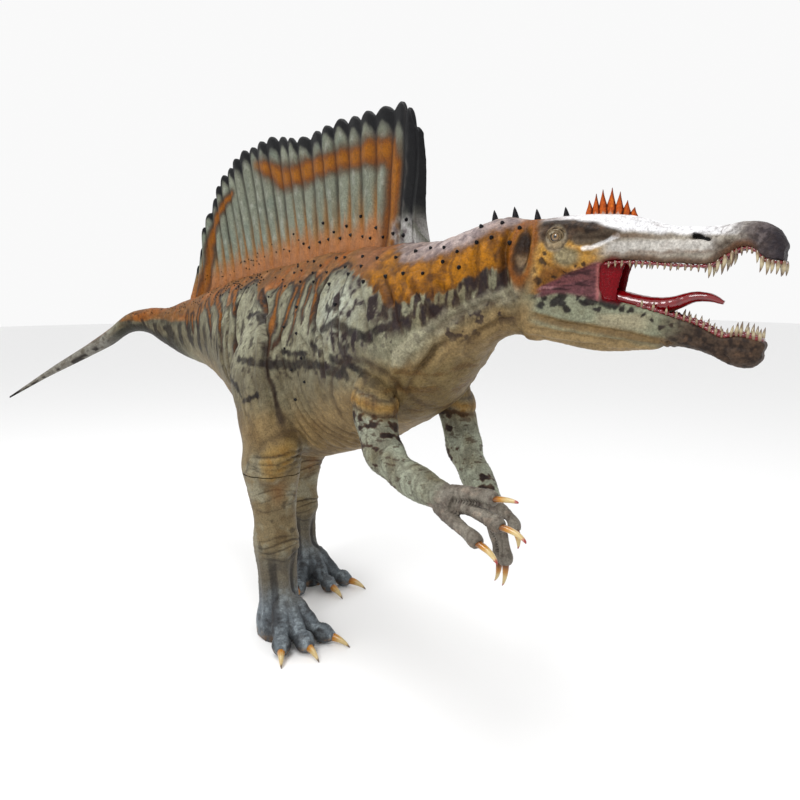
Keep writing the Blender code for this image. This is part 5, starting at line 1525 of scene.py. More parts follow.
def finger_relief(points, fingers):
    """How far the knuckles and scutes stand out, how deep the grooves are, and where the fingers are."""
    relief, grooves, on_finger = np.zeros(len(points)), np.zeros(len(points)), np.zeros(len(points))
    for joints in fingers:
        path = rounded_path(joints, 8) + HIP
        ahead = np.gradient(path, axis=0)
        ahead /= np.linalg.norm(ahead, axis=1, keepdims=True)
        lengths = np.concatenate([[0], np.cumsum(np.linalg.norm(np.diff(path, axis=0), axis=1))])
        away = np.linalg.norm(points[:, None] - path[None], axis=2)
        nearest = away.argmin(1)
        close = step(0.046, 0.036, away.min(1))
        out = lengths[nearest] + ((points - path[nearest]) * ahead[nearest]).sum(1)
        back = lengths[-1] - out
        below = step(0.2, 0.7, (path[nearest] - points)[:, 2] / 0.026)
        rung = 1 - below * (1 - np.abs(np.sin(np.pi * out / 0.011)))
        relief += close * (0.0045 * bump(back - 0.020, 0.022) - 0.0035 * bump(back - 0.066, 0.030))
        relief += close * 0.0014 * (rung - 1)
        grooves = np.maximum(grooves, close * (1 - rung))
        on_finger = np.maximum(on_finger, close)
    return relief, grooves, on_finger


def paint_arm(points, down, collar, creases, grooves, on_finger):
    """A pale arm with dark blots, an ochre fold at its top, and a brown-grey hand."""
    look = settings("limbs")
    fine, blur = rough(points, 0.018, 3, 84), rough(points, 0.07, 3, 85)
    paint = Paint(len(points), look.arm_colour, 0.5)
    paint.lay(srgb(118, 112, 94), 0.30 + 0.6 * blur)
    paint.lay(OLIVE, step(0.1, 0.5, rough(points, 0.08, 3, 86)) * 0.35)
    blots = rough(points, (0.050, 0.050, 0.034), 3, 87)
    paint.lay(srgb(78, 56, 44), step(0.22, 0.34, blots + 0.2 * fine) * 0.9)
    paint.lay(srgb(38, 28, 28), step(0.34, 0.44, blots + 0.2 * fine) * 0.85)
    paint.lay(srgb(70, 50, 38), step(0.28, 0.36, rough(points, (0.016, 0.06, 0.010), 3, 92)) * 0.6
        * step(0.9, 0.7, down))
    paint.lay(srgb(146, 116, 64), bump(collar, 0.034) * 0.85)
    paint.lay(srgb(96, 68, 38), bump(collar, 0.034) * step(0.0, 0.4, blur) * 0.7)
    paint.lay(srgb(60, 40, 26), np.maximum(bump(collar - 0.034, 0.010), bump(collar + 0.028, 0.009)) * 0.6)
    shoulder = paint_body(points, straightened(points), creases * 0)
    paint.colour += (shoulder.colour - paint.colour) * step(0.030, 0.044, collar)[:, None]
    hand = np.maximum(step(0.80, 0.93, down), on_finger)
    paint.lay(look.hand_colour, hand * 0.9)
    paint.lay(srgb(84, 72, 68), hand * step(0.05, 0.55, fine) * 0.5)
    paint.lay(srgb(156, 144, 132), hand * step(0.1, 0.5, rough(points, 0.030, 3, 89)) * 0.6)
    paint.lay(srgb(34, 28, 28), grooves * on_finger * 0.85)
    paint.lay(srgb(60, 46, 38), np.clip(-creases, 0, 1) * 0.34)
    paint.shade(1 + 0.16 * rough(points, 0.009, 2, 90))
    return paint


def build_arm(name, arm, fingers):
    """An arm with its hand and fingers, knuckled and wrinkled."""
    pieces = [limb_tube(name + " limb", arm)]
    for joints in fingers:
        pieces.append(limb_tube(name + " finger", [
            (*joint, radius) for joint, radius in zip(joints, FINGER_RADII)], 20, 8))
    whole = fused(name, pieces, ARM_VOXEL, 4)
    points = points_of(whole)
    relief, creases = arm_relief(points)
    knuckles, grooves, on_finger = finger_relief(points, fingers)
    path = rounded_path(arm, 6)[:, :3] + HIP
    nearest = np.linalg.norm(points[:, None] - path[None], axis=2).argmin(1)
    down = nearest / (len(path) - 1)
    elbow = bump(down - 0.43, 0.05)
    relief += 0.006 * elbow - 0.005 * bump(down - 0.56, 0.06) + 0.006 * bump(down - 0.68, 0.09)
    middle = np.array(arm[1][:2]) + HIP[:2]
    arch = 0.034 * np.minimum((points[:, 0] - middle[0]) ** 2 / 0.0081, 1)
    collar = points[:, 2] - arm[1][2] - 0.012 + 0.022 * rough(points, 0.07, 2, 91) + arch
    relief += 0.006 * bump(collar, 0.024)
    relief -= 0.004 * (bump(collar - 0.034, 0.012) + bump(collar + 0.028, 0.012))
    move_points(whole, points + normals_of(whole) * (relief + knuckles)[:, None])
    paint_arm(points, down, collar, creases, grooves, on_finger).put_on(whole)
    return whole


SAIL_BAND = (
    (0.685, 1.78), (0.690, 1.90), (0.705, 2.10), (0.665, 2.175), (0.50, 2.185), (0.30, 2.182), (0.0, 2.166),
    (-0.20, 2.160), (-0.32, 2.160), (-0.45, 2.22), (-0.60, 2.258), (-0.70, 2.25),
)
SAIL_REAR_BAND = ((-1.235, 1.56), (-1.20, 1.66), (-1.155, 1.85), (-1.085, 2.0), (-1.0, 2.08), (-0.90, 2.13))


def sail_sheet(columns, rows):
    """Half of the sail: places across its ribs, how far up each lies, and the half thickness there."""
    count = len(RIB_TIPS)
    at = np.linspace(0, count - 1, columns)[:, None]
    up = np.linspace(0, 1, rows)[None]
    tips = np.array(RIB_TIPS)
    index = np.arange(count)
    foot = np.interp(at, index, np.linspace(*SAIL_FOOT, count)) + 0 * up
    foot_height = smooth(BACK_HEIGHT, foot) - 0.05
    knots = [np.stack([index, tips[:, i]], 1) for i in (0, 1)]
    rim = [smooth(line, at) + 0 * up for line in knots]
    between = np.where(at >= count - 1, 0.0, at - np.floor(at))
    web = 1 - np.sqrt(1 - np.abs(np.sin(np.pi * between)) ** 2 * 0.999)
    drop = 0.030 * web
    run = np.stack([rim[0] - foot, rim[1] - foot_height])
    length = np.hypot(run[0], run[1])
    run = run / length
    length = length - drop - 0.004
    front = step(2.2, 0.2, at)
    along = (
        foot + run[0] * length * up + front * (0.050 * (1 - up / 0.10) * (up < 0.10) - 0.030
        * bump(up - 0.33, 0.30)))
    height = foot_height + run[1] * length * up
    thick = SAIL_FOOT_THICKNESS + (SAIL_RIM_THICKNESS - SAIL_FOOT_THICKNESS) * up**0.7
    thick = thick - np.minimum(settings("sail").rib_relief, 0.62 * thick) * web * np.minimum(1, up * 5)
    thick = thick * np.sqrt(np.clip((1.004 - up) / 0.02, 0, 1))
    return along, height, thick, at + 0 * up, up + 0 * at, web + 0 * up


def paint_sail(points, place, rib, up, web, fine, blur, streaked):
    """Dark rim, orange bands and a pale foot over grey-green webs, with painted shade in the grooves
    between the ribs and painted highlights on the rib crests.
    """
    rim_drop = (1 - up) * 0.55
    lift = place[:, 2] - smooth(BACK_HEIGHT, np.clip(place[:, 0], -1.4, 0.95))
    u = place[:, 0] + 0.020 * rough(points, 0.10, 3, 106)
    v = place[:, 2] + 0.016 * rough(points, 0.10, 3, 107)
    look = settings("sail")
    paint = Paint(len(points), look.sail_colour, 0.5)
    paint.lay(srgb(96, 98, 86), 0.32 + 0.5 * streaked)
    # Pale speckles on the rib crests: painted highlight.
    paint.lay(srgb(162, 162, 152), step(0.08, 0.6, fine + 0.3 * streaked) * 0.35 * step(0.5, 0.1, web))
    paint.lay(srgb(112, 124, 116), step(0.0, 0.6, blur) * 0.4)
    # Grey-green darkening in the grooves between the ribs: painted shade.
    paint.lay(srgb(58, 56, 48), step(0.35, 0.95, web) * (0.70 + 0.5 * streaked))
    # Pale on the rib crests: painted highlight.
    paint.lay(srgb(172, 174, 168), step(0.10, 0.02, web) * step(0.0, 0.3, fine + 0.4 * streaked) * 0.2)
    foot = step(0.32, 0.06, lift + 0.16 * streaked) * step(0.78, 0.68, u)
    paint.lay(srgb(154, 108, 46), foot * 0.75 * step(0.1, 0.7, web + streaked))
    foot = step(0.16, 0.03, lift + 0.09 * streaked + 0.02 * fine) * step(0.78, 0.70, u)
    paint.lay(srgb(158, 114, 78), foot * 0.95)
    paint.lay(srgb(134, 90, 48), foot * step(0.05, 0.5, fine) * 0.6)
    away, share = near(u, v, SAIL_BAND)
    half = smooth(((0, 0.040), (0.28, 0.045), (0.45, 0.034), (0.7, 0.046), (0.88, 0.032), (1.0, 0.014)),
        share)
    fade = step(1.0, 0.90, share)
    paint.lay(srgb(84, 58, 38), step(half + 0.050, half, away + 0.03 * streaked) * 0.75 * fade)
    paint.lay(srgb(122, 78, 30), step(half + 0.016, half - 0.010, away + 0.01 * fine) * 0.92 * fade)
    # The band thins in the grooves between the ribs and its dark edge deepens there: painted shade.
    paint.lay(look.band_colour, step(half * 0.9, half * 0.3, away + 0.012 * fine) * (1 - 0.6 * web) * fade)
    paint.lay(srgb(70, 40, 20), step(half + 0.02, half, away) * step(0.55, 1.0, web) * 0.7 * fade)
    away, share = near(u, v, SAIL_REAR_BAND)
    half = 0.042 * (1 - share) + 0.014
    paint.lay(srgb(72, 50, 34), step(half + 0.035, half, away) * 0.8)
    paint.lay(srgb(124, 80, 30), step(half + 0.006, half * 0.5, away) * 0.95)
    paint.lay(look.band_colour, step(half * 0.7, half * 0.1, away) * 0.6)
    dark = 0.042 + 0.022 * web + 0.016 * fine + 0.012 * np.sin(rib * 1.7) + 0.045 * step(4.5, 2.0, rib)
    dark = dark + 0.06 * step(21.5, 23.5, rib)
    front = step(1.72, 1.42, rib)
    paint.lay(srgb(70, 68, 66), step(dark * 1.5, dark * 0.9, rim_drop) * 0.6)
    paint.lay(look.rim_colour, step(dark * 1.05, dark * 0.72, rim_drop) * 0.96)
    paint.lay(srgb(96, 92, 88), front * step(1.78, 1.88, v + 0.05 * streaked) * 0.6)
    paint.lay(look.rim_colour, front * step(1.84, 1.96, v + 0.06 * streaked + 0.05 * web) * 0.95)
    # Lighter grey along the crests of the dark front ribs: painted highlight.
    rib_crest_highlight = (
        front * step(0.25, 0.05, web) * step(2.25, 2.0, v) * step(1.85, 1.95, v)
        * step(0.0, 0.5, fine + 0.3))
    paint.lay(srgb(126, 122, 116), rib_crest_highlight * 0.5 * step(0.8, 1.2, rib))
    pale = step(0.66, 0.76, u) * step(1.92, 1.86, v)
    paint.lay(srgb(164, 162, 160), pale * step(-0.3, 0.3, fine) * 0.9)
    paint.lay(srgb(84, 72, 74), pale * step(0.1, 0.4, rough(points, 0.030, 3, 109)) * 0.75)
    paint.shade(1 + 0.18 * rough(points, 0.012, 2, 108))
    return paint


def build_sail():
    """The ribbed, scalloped sail."""
    along, height, thick, rib, up, web = sail_sheet(12 * (len(RIB_TIPS) - 1) + 1, 84)
    wavy = 0.006 * np.sin(rib * 2.1 + up * 3) * up
    sides = [np.stack([along, wavy + sign * thick, height], -1) for sign in (-1, 1)]
    rings = np.concatenate([sides[0], sides[1][:, ::-1]], 1)
    rib, up, web = (np.concatenate([a, a[:, ::-1]], 1) for a in (rib, up, web))
    piece = rolled("sail", bent(rings), rib=rib, up=up, web=web)
    points = points_of(piece)
    place = straightened(points)
    fine, blur = rough(points, 0.030, 3, 101), rough(points, 0.10, 3, 102)
    rib, up, web = taken(piece, "rib"), taken(piece, "up"), taken(piece, "web")
    streaked = rough(np.stack([rib * 0.30, up * 0.6, np.sign(place[:, 1]) * 0.3], 1), (0.10, 0.30, 0.2), 3,
        103)
    relief = 0.0020 * rough(np.stack([rib * 0.12, up * 0.5, place[:, 1]], 1), (0.03, 0.16, 0.05), 3, 104)
    relief = relief + 0.0012 * rough(points, 0.020, 2, 105) + 0.003 * blur
    relief *= step(0.0, 0.02, (1 - up) * 0.55) * step(0.03, 0.08, up)
    move_points(piece, points + normals_of(piece) * relief[:, None])
    paint_sail(points, place, rib, up, web, fine, blur, streaked).put_on(piece)
    return piece


def build_crest():
    """Seven ribbed flames on one base, thin at their tips."""
    tips = np.array(CREST_TIPS)
    count = len(tips)
    at = np.linspace(-0.5, count - 0.5, count * 18 + 1)[:, None]
    up = np.linspace(0, 1, 34)[None]
    index = np.arange(count)
    knots_u = np.concatenate([[[-0.5, CREST_REAR]], np.stack([index, tips[:, 0]], 1),
        [[count - 0.5, CREST_FRONT]]])
    knots_h = np.concatenate([[[-0.5, 1.868]], np.stack([index, tips[:, 1]], 1), [[count - 0.5, 1.852]]])
    base = CREST_REAR + (CREST_FRONT - CREST_REAR) * (at + 0.5) / count
    between = np.abs(at - np.round(at)) * 2
    rim_u, rim_h = smooth(knots_u, at), smooth(knots_h, at)
    foot_h = smooth(SKULL_HEIGHT, base) - 0.014
    rim_h = (
        rim_h - 0.55 * (rim_h - foot_h) * between**0.8 * step(-0.5, 0.0, at)
        * step(count - 0.5, count - 1.0, at))
    along = base + (rim_u - base) * up
    height = foot_h + (rim_h - foot_h) * up
    thick = (0.0125 - 0.0080 * up) * (0.50 + 0.50 * np.sqrt(1 - between**2 * 0.98))
    thick = thick * np.sqrt(np.clip((1.01 - up) / 0.06, 0, 1))
    thick = np.maximum(thick * step(-0.52, -0.40, at) * step(count - 0.48, count - 0.60, at), 0.0004)
    sides = [np.stack([along + 0 * up, sign * thick + 0 * along, height], -1) for sign in (-1, 1)]
    gap, rise = (np.concatenate([a, a[:, ::-1]], 1) for a in np.broadcast_arrays(between, up))
    piece = rolled("head_crest", bent(np.concatenate([sides[0], sides[1][:, ::-1]], 1)), gap=gap, rise=rise)
    points = points_of(piece)
    gap, rise = taken(piece, "gap"), taken(piece, "rise")
    fine = rough(points, 0.010, 3, 111)
    paint = Paint(len(points), settings("head").crest_colour, 0.5)
    paint.lay(srgb(204, 130, 52), step(0.0, 0.5, fine) * 0.7)
    paint.lay(srgb(72, 30, 22), step(0.45, 0.95, gap + 0.3 * fine) * 0.9)
    paint.lay(srgb(92, 34, 26), step(0.72, 1.0, rise + 0.1 * fine) * 0.6)
    paint.lay(srgb(178, 170, 164), step(0.30, 0.14, rise + 0.1 * fine) * 0.8)
    paint.shade(1 + 0.12 * rough(points, 0.004, 2, 112))
    paint.put_on(piece)
    return piece


def build_tongue():
    """A thick wet tongue with a groove down its middle."""
    points = np.array(TONGUE_POINTS)
    along = np.linspace(points[0, 0], points[-1, 0], 90)
    height, wide, high = (smooth(points[:, (0, i)], along) for i in (1, 2, 3))
    sunk = bump(along - 1.80, 0.10)
    height, high = height - 0.018 * sunk - 0.004, high * 1.65 + 0.005 * sunk
    across = rings_across(np.stack([along, 0 * along, height], 1), wide, high, 40)
    piece = rolled("tongue", bent(across))
    points = points_of(piece)
    place = straightened(points)
    top = normals_of(piece)[:, 2]
    relief = -0.004 * bump(place[:, 1], 0.004) * step(0.2, 0.7, top) + 0.0012 * rough(points, 0.012, 3, 121)
    move_points(piece, points + normals_of(piece) * relief[:, None])
    paint = Paint(len(points), settings("head").tongue_colour, 0.16)
    paint.lay(srgb(96, 8, 20), step(0.0, 0.6, rough(points, 0.02, 3, 122)) * 0.6)
    paint.lay(srgb(70, 6, 16), bump(place[:, 1], 0.005) * 0.6)
    paint.put_on(piece)
    return piece


def tooth_rings(root, tip, radius, lean, sides=12):
    """A curved, pointed tooth from its root to its tip."""
    root, tip = np.array(root, float), np.array(tip, float)
    share = np.array((0.0, 0.12, 0.30, 0.48, 0.64, 0.78, 0.89, 0.96, 1.0))[:, None]
    centres = root + (tip - root) * share + np.array((lean, 0, 0)) * (share - share**2) * 2
    size = radius * np.array((0.80, 1.0, 0.98, 0.86, 0.68, 0.48, 0.28, 0.13, 0.03))
    return rings_across(centres, size, size, sides, up=(0, 1, 0.01))


def tubes(name, ring_sets):
    """Many small tubes as one piece, each with closed ends."""
    return joined(name, [rolled(name, rings) for rings in ring_sets])


def gum_ridge(name, reach, tip, half_widths, lip, way):
    """The gum round a jaw, swelling between the teeth."""
    along = np.linspace(*reach, 130)
    side = smooth(half_widths, along) - GUM_INSET - 0.0025
    rounding = ((0.026, 0.90), (0.020, 0.68), (0.016, 0.36))
    front = np.array([(tip - back, side[-1] * share) for back, share in rounding])
    row = np.concatenate([np.stack([along, side], 1), front])
    path = np.concatenate([row * (1, -1), row[::-1]])
    height = smooth(lip, path[:, 0]) + way * 0.001
    wide = np.full(len(path), 0.0060) * (1 + 0.10 * np.sin(path[:, 0] * 360))
    high = np.full(len(path), 0.0066 if way > 0 else 0.0050) * (1 + 0.30 * np.sin(path[:, 0] * 360))
    wide[[0, -1]] *= 0.3
    high[[0, -1]] *= 0.3
    piece = rolled(name, bent(rings_across(np.column_stack([path, height]), wide, high, 16)))
    points = points_of(piece)
    paint = Paint(len(points), settings("head").gum_colour, 0.2)
    paint.lay(srgb(86, 18, 28), step(-0.1, 0.5, rough(points, 0.010, 3, 131)) * 0.7)
    paint.put_on(piece)
    return piece


def build_teeth(name, half_widths, lip, way, groups, reach, tip, seed):
    """Gums with every tooth in them."""
    look = settings("head")
    random = np.random.default_rng(seed)
    sets = []
    for first, last, count, size, flare in groups:
        for along in np.linspace(first, last, count):
            for side in (-1, 1):
                long = look.tooth_length * size * random.uniform(0.78, 1.10)
                place = along + random.uniform(-0.15, 0.15) * (last - first) / count
                foot = side * (smooth(half_widths, place) - GUM_INSET)
                base = smooth(lip, place) - way * 0.004
                radius = 0.0028 + 0.10 * long
                root = (place, foot, base)
                forward = (0.16 if way > 0 else -0.06) * long + random.uniform(-0.003, 0.003)
                point = (place + forward, foot * flare, base + way * (long + 0.008))
                sets.append(tooth_rings(root, point, radius, 0.13 * long if way < 0 else -0.05 * long))
    teeth = tubes(name, [bent(rings) for rings in sets])
    points = points_of(teeth)
    place = straightened(points)
    drop = (place[:, 2] - smooth(lip, place[:, 0])) * way / look.tooth_length
    paint = Paint(len(points), look.tooth_colour, 0.25)
    paint.lay(srgb(110, 82, 58), step(0.34, 0.08, drop) * 0.8)
    tip_share = np.zeros(len(points))
    for group_first, group_last, _, size, _ in groups:
        here = (place[:, 0] > group_first - 0.012) & (place[:, 0] < group_last + 0.012)
        tip_share = np.where(here, drop / size, tip_share)
    paint.lay(srgb(92, 62, 40), step(0.50, 0.95, tip_share + 0.15 * rough(points, 0.01, 2, 132)) * 0.85)
    paint.put_on(teeth)
    gums = gum_ridge(name + " gum", reach, tip, half_widths, lip, way)
    return joined(name, [teeth, gums])


def build_eye(name, side):
    """A glossy eyeball with a slit pupil in an amber iris."""
    centre = bent([[EYE[0], side * EYE[1], EYE[2]]])[0]
    select_none()
    bpy.ops.mesh.primitive_uv_sphere_add(segments=64, ring_count=40, radius=EYE_RADIUS)
    piece = bpy.context.active_object
    piece.name = piece.data.name = name
    points = points_of(piece) + centre
    move_points(piece, points)
    place = straightened(points)
    off = place - np.array((EYE[0] + 0.003, side * (EYE[1] + EYE_RADIUS), EYE[2] + 0.001))
    away = np.hypot(off[:, 0], off[:, 2])
    paint = Paint(len(points), srgb(22, 16, 14), 0.08)
    paint.lay(settings("head").iris_colour, step(0.0135, 0.0120, away))
    paint.lay(srgb(170, 140, 84), step(0.0105, 0.008, away) * 0.45)
    paint.lay(srgb(70, 50, 30), step(0.0068, 0.0060, away) * 0.8)
    paint.lay(BLACK, step(0.0062, 0.0050, np.hypot(off[:, 0] * 1.15, off[:, 2])))
    paint.put_on(piece)
    return piece


def paint_claw(piece, root, tip, tip_colour):
    """Amber at the quick, cream down the middle, dark at the point."""
    points = points_of(piece)
    run = np.array(tip) - np.array(root)
    share = ((points - root) @ run) / (run @ run)
    streaks = rough(points, (0.02, 0.004, 0.004), 2, 141)
    look = settings("limbs")
    paint = Paint(len(points), look.claw_colour, 0.28)
    paint.lay(look.quick_colour, step(0.62, 0.30, share + 0.08 * streaks) * 0.95)
    paint.lay(srgb(104, 58, 16), step(0.34, 0.12, share) * 0.75)
    paint.lay(tip_colour, step(0.84, 0.94, share + 0.04 * streaks) * 0.9)
    paint.shade(1 + 0.10 * streaks)
    paint.put_on(piece)
    return piece


def build_finger_claw(name, joints, tip):
    """A hooked claw that carries on from the finger's last joint."""
    root, before, tip = np.array(joints[-1]), np.array(joints[-2]), np.array(tip)
    ahead = (root - before) / np.linalg.norm(root - before)
    reach = np.linalg.norm(tip - root)
    root = root - ahead * 0.006
    share = np.linspace(0, 1, 26)
    taper = ((0, 1.0), (0.25, 0.92), (0.5, 0.72), (0.75, 0.45), (0.93, 0.20), (1.0, 0.05))
    size = FINGER_CLAW_RADIUS * smooth(taper, share)
    share = share[:, None]
    line = (root + ahead * reach * 0.9 * share) * (1 - share**1.8) + tip * share**1.8
    line = line + np.array((0.06, 0, 0.10)) * reach * np.sin(np.pi * share)
    piece = rolled(name, rings_across(line, size * 0.80, size * 1.15, 20, up=(0, 1, 0)) + HIP)
    return paint_claw(piece, root + HIP, tip + HIP, srgb(150, 34, 44))


def build_toe_claw(name, foot, spread):
    """A low claw that curves down to the ground before its toe."""
    ahead = toe_direction(foot, spread)
    share = np.linspace(0, 1, 26)
    shape = np.array(TOE_CLAW_SHAPE)
    drop, size = (smooth(shape[:, (0, i)], share) for i in (1, 2))
    start = np.array((foot.x, foot.y, 0)) + ahead * (TOE_STATIONS[-1][0] - 0.03)
    line = start + ahead * (TOE_CLAW_LENGTH * share)[:, None]
    line[:, 2] = TOE_CLAW_HEIGHT - drop
    rings = rings_across(line, size * 0.92, size * 1.05, 20)
    rings[..., 2] = np.maximum(rings[..., 2], 0.0)
    piece = rolled(name, rings + HIP)
    return paint_claw(piece, line[0] + HIP, line[-1] + HIP, srgb(86, 60, 44))


def studs(name, piece, places, seed):
    """Dark, blunt studs on both sides of a piece, at places (along, height, share of the full size)."""
    hide = settings("hide")
    random = np.random.default_rng(seed)
    tree = BVHTree.FromObject(piece, bpy.context.evaluated_depsgraph_get())
    sets = []
    for along, height, share_of_size in places:
        size = hide.stud_height * share_of_size * random.uniform(0.85, 1.15)
        for side in (-1, 1):
            way = bent([[along, 0, height]])[0] - bent([[along, side, height]])[0]
            start = Vector(bent([[along, side * 0.6, height]])[0])
            hit, normal, _, _ = tree.ray_cast(start, Vector(way))
            if hit is None:
                continue
            lean = [random.uniform(low, high) for low, high in ((-0.15, 0.15), (-0.15, 0.15), (0.0, 0.2))]
            out = np.array((normal + Vector(lean)).normalized())
            share = np.array((-0.3, 0.0, 0.25, 0.48, 0.68, 0.80))[:, None]
            radius = size * 0.56 * np.array((1.15, 1.10, 0.96, 0.74, 0.44, 0.08))
            sets.append(rings_across(np.array(hit) + out * share * size, radius, radius, 8,
                up=(0.3, 0.9, 0.1)))
    made = tubes(name, sets)
    paint = Paint(len(made.data.vertices), hide.stud_colour, 0.35)
    paint.lay(srgb(66, 60, 62), step(0.2, 0.7, rough(points_of(made), 0.010, 2, 151)) * 0.5)
    paint.put_on(made)
    return made


BODY_STUDS = (
    (-0.60, 1.69), (-0.48, 1.69), (-0.42, 1.62), (-0.47, 1.56), (-0.62, 1.52), (-0.15, 1.67),
    (-0.05, 1.66), (0.05, 1.69), (-0.09, 1.58), (0.18, 1.74), (0.27, 1.72), (0.17, 1.65), (0.30, 1.65),
    (0.22, 1.54), (0.14, 1.45), (0.29, 1.43), (0.20, 1.36), (0.37, 1.33), (0.26, 1.27), (0.39, 1.23),
    (0.28, 1.14), (0.36, 1.75), (0.46, 1.75), (0.63, 1.75), (0.62, 1.68), (0.47, 1.64), (0.62, 1.56),
    (0.77, 1.74), (0.79, 1.65), (0.89, 1.74), (0.90, 1.67), (0.54, 1.71), (0.70, 1.71), (0.12, 1.70),
    (0.38, 1.69), (0.02, 1.63), (-0.20, 1.71), (-0.28, 1.66), (-0.34, 1.70), (-0.54, 1.65),
    (-0.68, 1.63), (-0.66, 1.67), (0.02, 1.72), (0.10, 1.74), (-0.02, 1.73), (0.24, 1.69),
)
NECK_STUDS = (
    (0.98, 1.68), (1.05, 1.68), (0.97, 1.76), (1.03, 1.77), (1.10, 1.77), (1.12, 1.72), (1.16, 1.755),
    (1.22, 1.785), (1.21, 1.84), (1.29, 1.85), (1.27, 1.80), (1.36, 1.83), (1.18, 1.70), (1.34, 1.78),
)
SAIL_STUDS = (
    (0.80, 1.89), (0.79, 1.83), (0.72, 1.84), (0.64, 1.83), (0.58, 1.87), (0.47, 1.84), (0.45, 1.925),
    (0.38, 1.85), (0.29, 1.84), (0.23, 1.87), (0.13, 1.915), (0.11, 1.83), (0.0, 1.81), (-0.06, 1.83),
    (-0.12, 1.85), (-0.17, 1.88), (-0.27, 1.81), (-0.22, 1.80), (-0.36, 1.80), (-0.42, 1.84),
    (-0.50, 1.78), (-0.58, 1.80), (-0.70, 1.77), (-0.80, 1.76), (0.54, 1.83), (0.34, 1.89), (0.18, 1.84),
)


def scattered(random, count, ends, band, size):
    """Studs at random places in a band of height, smaller towards the tail."""
    found = []
    for along in random.uniform(*ends, count):
        low, high = (smooth(line, along) for line in band)
        found.append((along, random.uniform(low, high), size * step(-2.2, 0.2, along) + 0.32))
    return found


def body_stud_places():
    """The studs seen in the photograph, and smaller ones crowding back towards the tail."""
    places = [(along, height, 0.45 + 0.55 * step(-0.6, 0.5, along)) for along, height in BODY_STUDS]
    band = (((-0.75, 1.57), (-0.3, 1.62), (0.2, 1.68)), ((-0.75, 1.66), (-0.3, 1.71), (0.2, 1.75)))
    return places + scattered(np.random.default_rng(3), 34, (-0.74, -0.28), band, 0.35)


def tail_stud_places():
    """Small studs along the top of the tail, fewer and lower towards its end."""
    band = (((-1.95, 1.42), (-1.4, 1.47), (-0.76, 1.58)), ((-1.95, 1.44), (-1.4, 1.53), (-0.76, 1.665)))
    return scattered(np.random.default_rng(4), 80, (-1.95, -0.77), band, 0.2)


def sail_stud_places():
    """The studs on the sail's foot."""
    places = [(along, height, 0.45 + 0.55 * step(-0.8, 0.4, along)) for along, height in SAIL_STUDS]
    band = (((-1.25, 1.64), (-0.5, 1.74), (0.0, 1.80)), ((-1.25, 1.68), (-0.5, 1.80), (0.0, 1.84)))
    return places + scattered(np.random.default_rng(9), 20, (-1.2, -0.55), band, 0.3)


def top_horn(along, outline):
    """Rings of one small dark horn on the top line."""
    share = np.array((0.0, 0.3, 0.5, 0.7, 0.85, 0.95, 1.0))[:, None]
    line = np.array((along, 0, smooth(outline, along) - 0.012)) + np.array((-0.006, 0, 0.044)) * share
    size = 0.011 * np.array((1.25, 1.0, 0.80, 0.55, 0.33, 0.15, 0.03))
    return bent(rings_across(line, size, size, 14, up=(0, 1, 0)))


def dark_horns(name, places, outline):
    """Dark horns on an outline's top line, as one piece."""
    made = tubes(name, [top_horn(along, outline) for along in places])
    Paint(len(made.data.vertices), settings("hide").stud_colour, 0.4).put_on(made)
    return made


def shaded(name):
    """A new material with its nodes and a shader that feeds the surface."""
    made = bpy.data.materials.new(name)
    made.use_nodes = True
    nodes = made.node_tree.nodes
    nodes.clear()
    out, shader = nodes.new("ShaderNodeOutputMaterial"), nodes.new("ShaderNodeBsdfPrincipled")
    made.node_tree.links.new(shader.outputs["BSDF"], out.inputs["Surface"])
    return made, nodes, shader


def node(nodes, kind, **inputs):
    """A new node with these inputs set, their names in lower case with _ for a space."""
    made = nodes.new("ShaderNode" + kind)
    for key, value in inputs.items():
        made.inputs[key.replace("_", " ").title()].default_value = value
    return made


def painted(name):
    """A material that takes its roughness from the points, and the node that holds their colours."""
    made, nodes, shader = shaded(name)
    paint, gloss = node(nodes, "Attribute"), node(nodes, "Attribute")
    paint.attribute_name, gloss.attribute_name = "paint", "gloss"
    made.node_tree.links.new(gloss.outputs["Fac"], shader.inputs["Roughness"])
    return made, nodes, shader, paint


def skin(name, depth):
    """Painted skin: the point colours, broken up by fine mottling over a pebbled, pitted bump."""
    if name in bpy.data.materials:
        return bpy.data.materials[name]
    made, nodes, shader, paint = painted(name)
    link = made.node_tree.links.new
    shader.inputs["Specular IOR Level"].default_value = 0.14
    place = node(nodes, "TexCoord")
    speck = node(nodes, "TexNoise", scale=140, detail=5, roughness=0.65)
    pebble = node(nodes, "TexVoronoi", scale=230)
    for pattern in (speck, pebble):
        link(place.outputs["Object"], pattern.inputs["Vector"])
    tone = node(nodes, "MapRange", from_min=0.3, from_max=0.7, to_min=0.60, to_max=1.30)
    link(speck.outputs["Fac"], tone.inputs["Value"])
    mix = node(nodes, "Mix")
    mix.data_type = "RGBA"
    mix.blend_type = "MULTIPLY"
    mix.inputs["Factor"].default_value = 1.0
    link(paint.outputs["Color"], mix.inputs["A"])
    link(tone.outputs["Result"], mix.inputs["B"])
    link(mix.outputs["Result"], shader.inputs["Base Color"])
    blend = node(nodes, "Math")
    blend.operation = "MULTIPLY_ADD"
    blend.inputs[1].default_value = -0.7
    link(pebble.outputs["Distance"], blend.inputs[0])
    link(speck.outputs["Fac"], blend.inputs[2])
    pits = node(nodes, "Bump", strength=0.55, distance=0.0030 * depth)
    link(blend.outputs["Value"], pits.inputs["Height"])
    link(pits.outputs["Normal"], shader.inputs["Normal"])
    return made


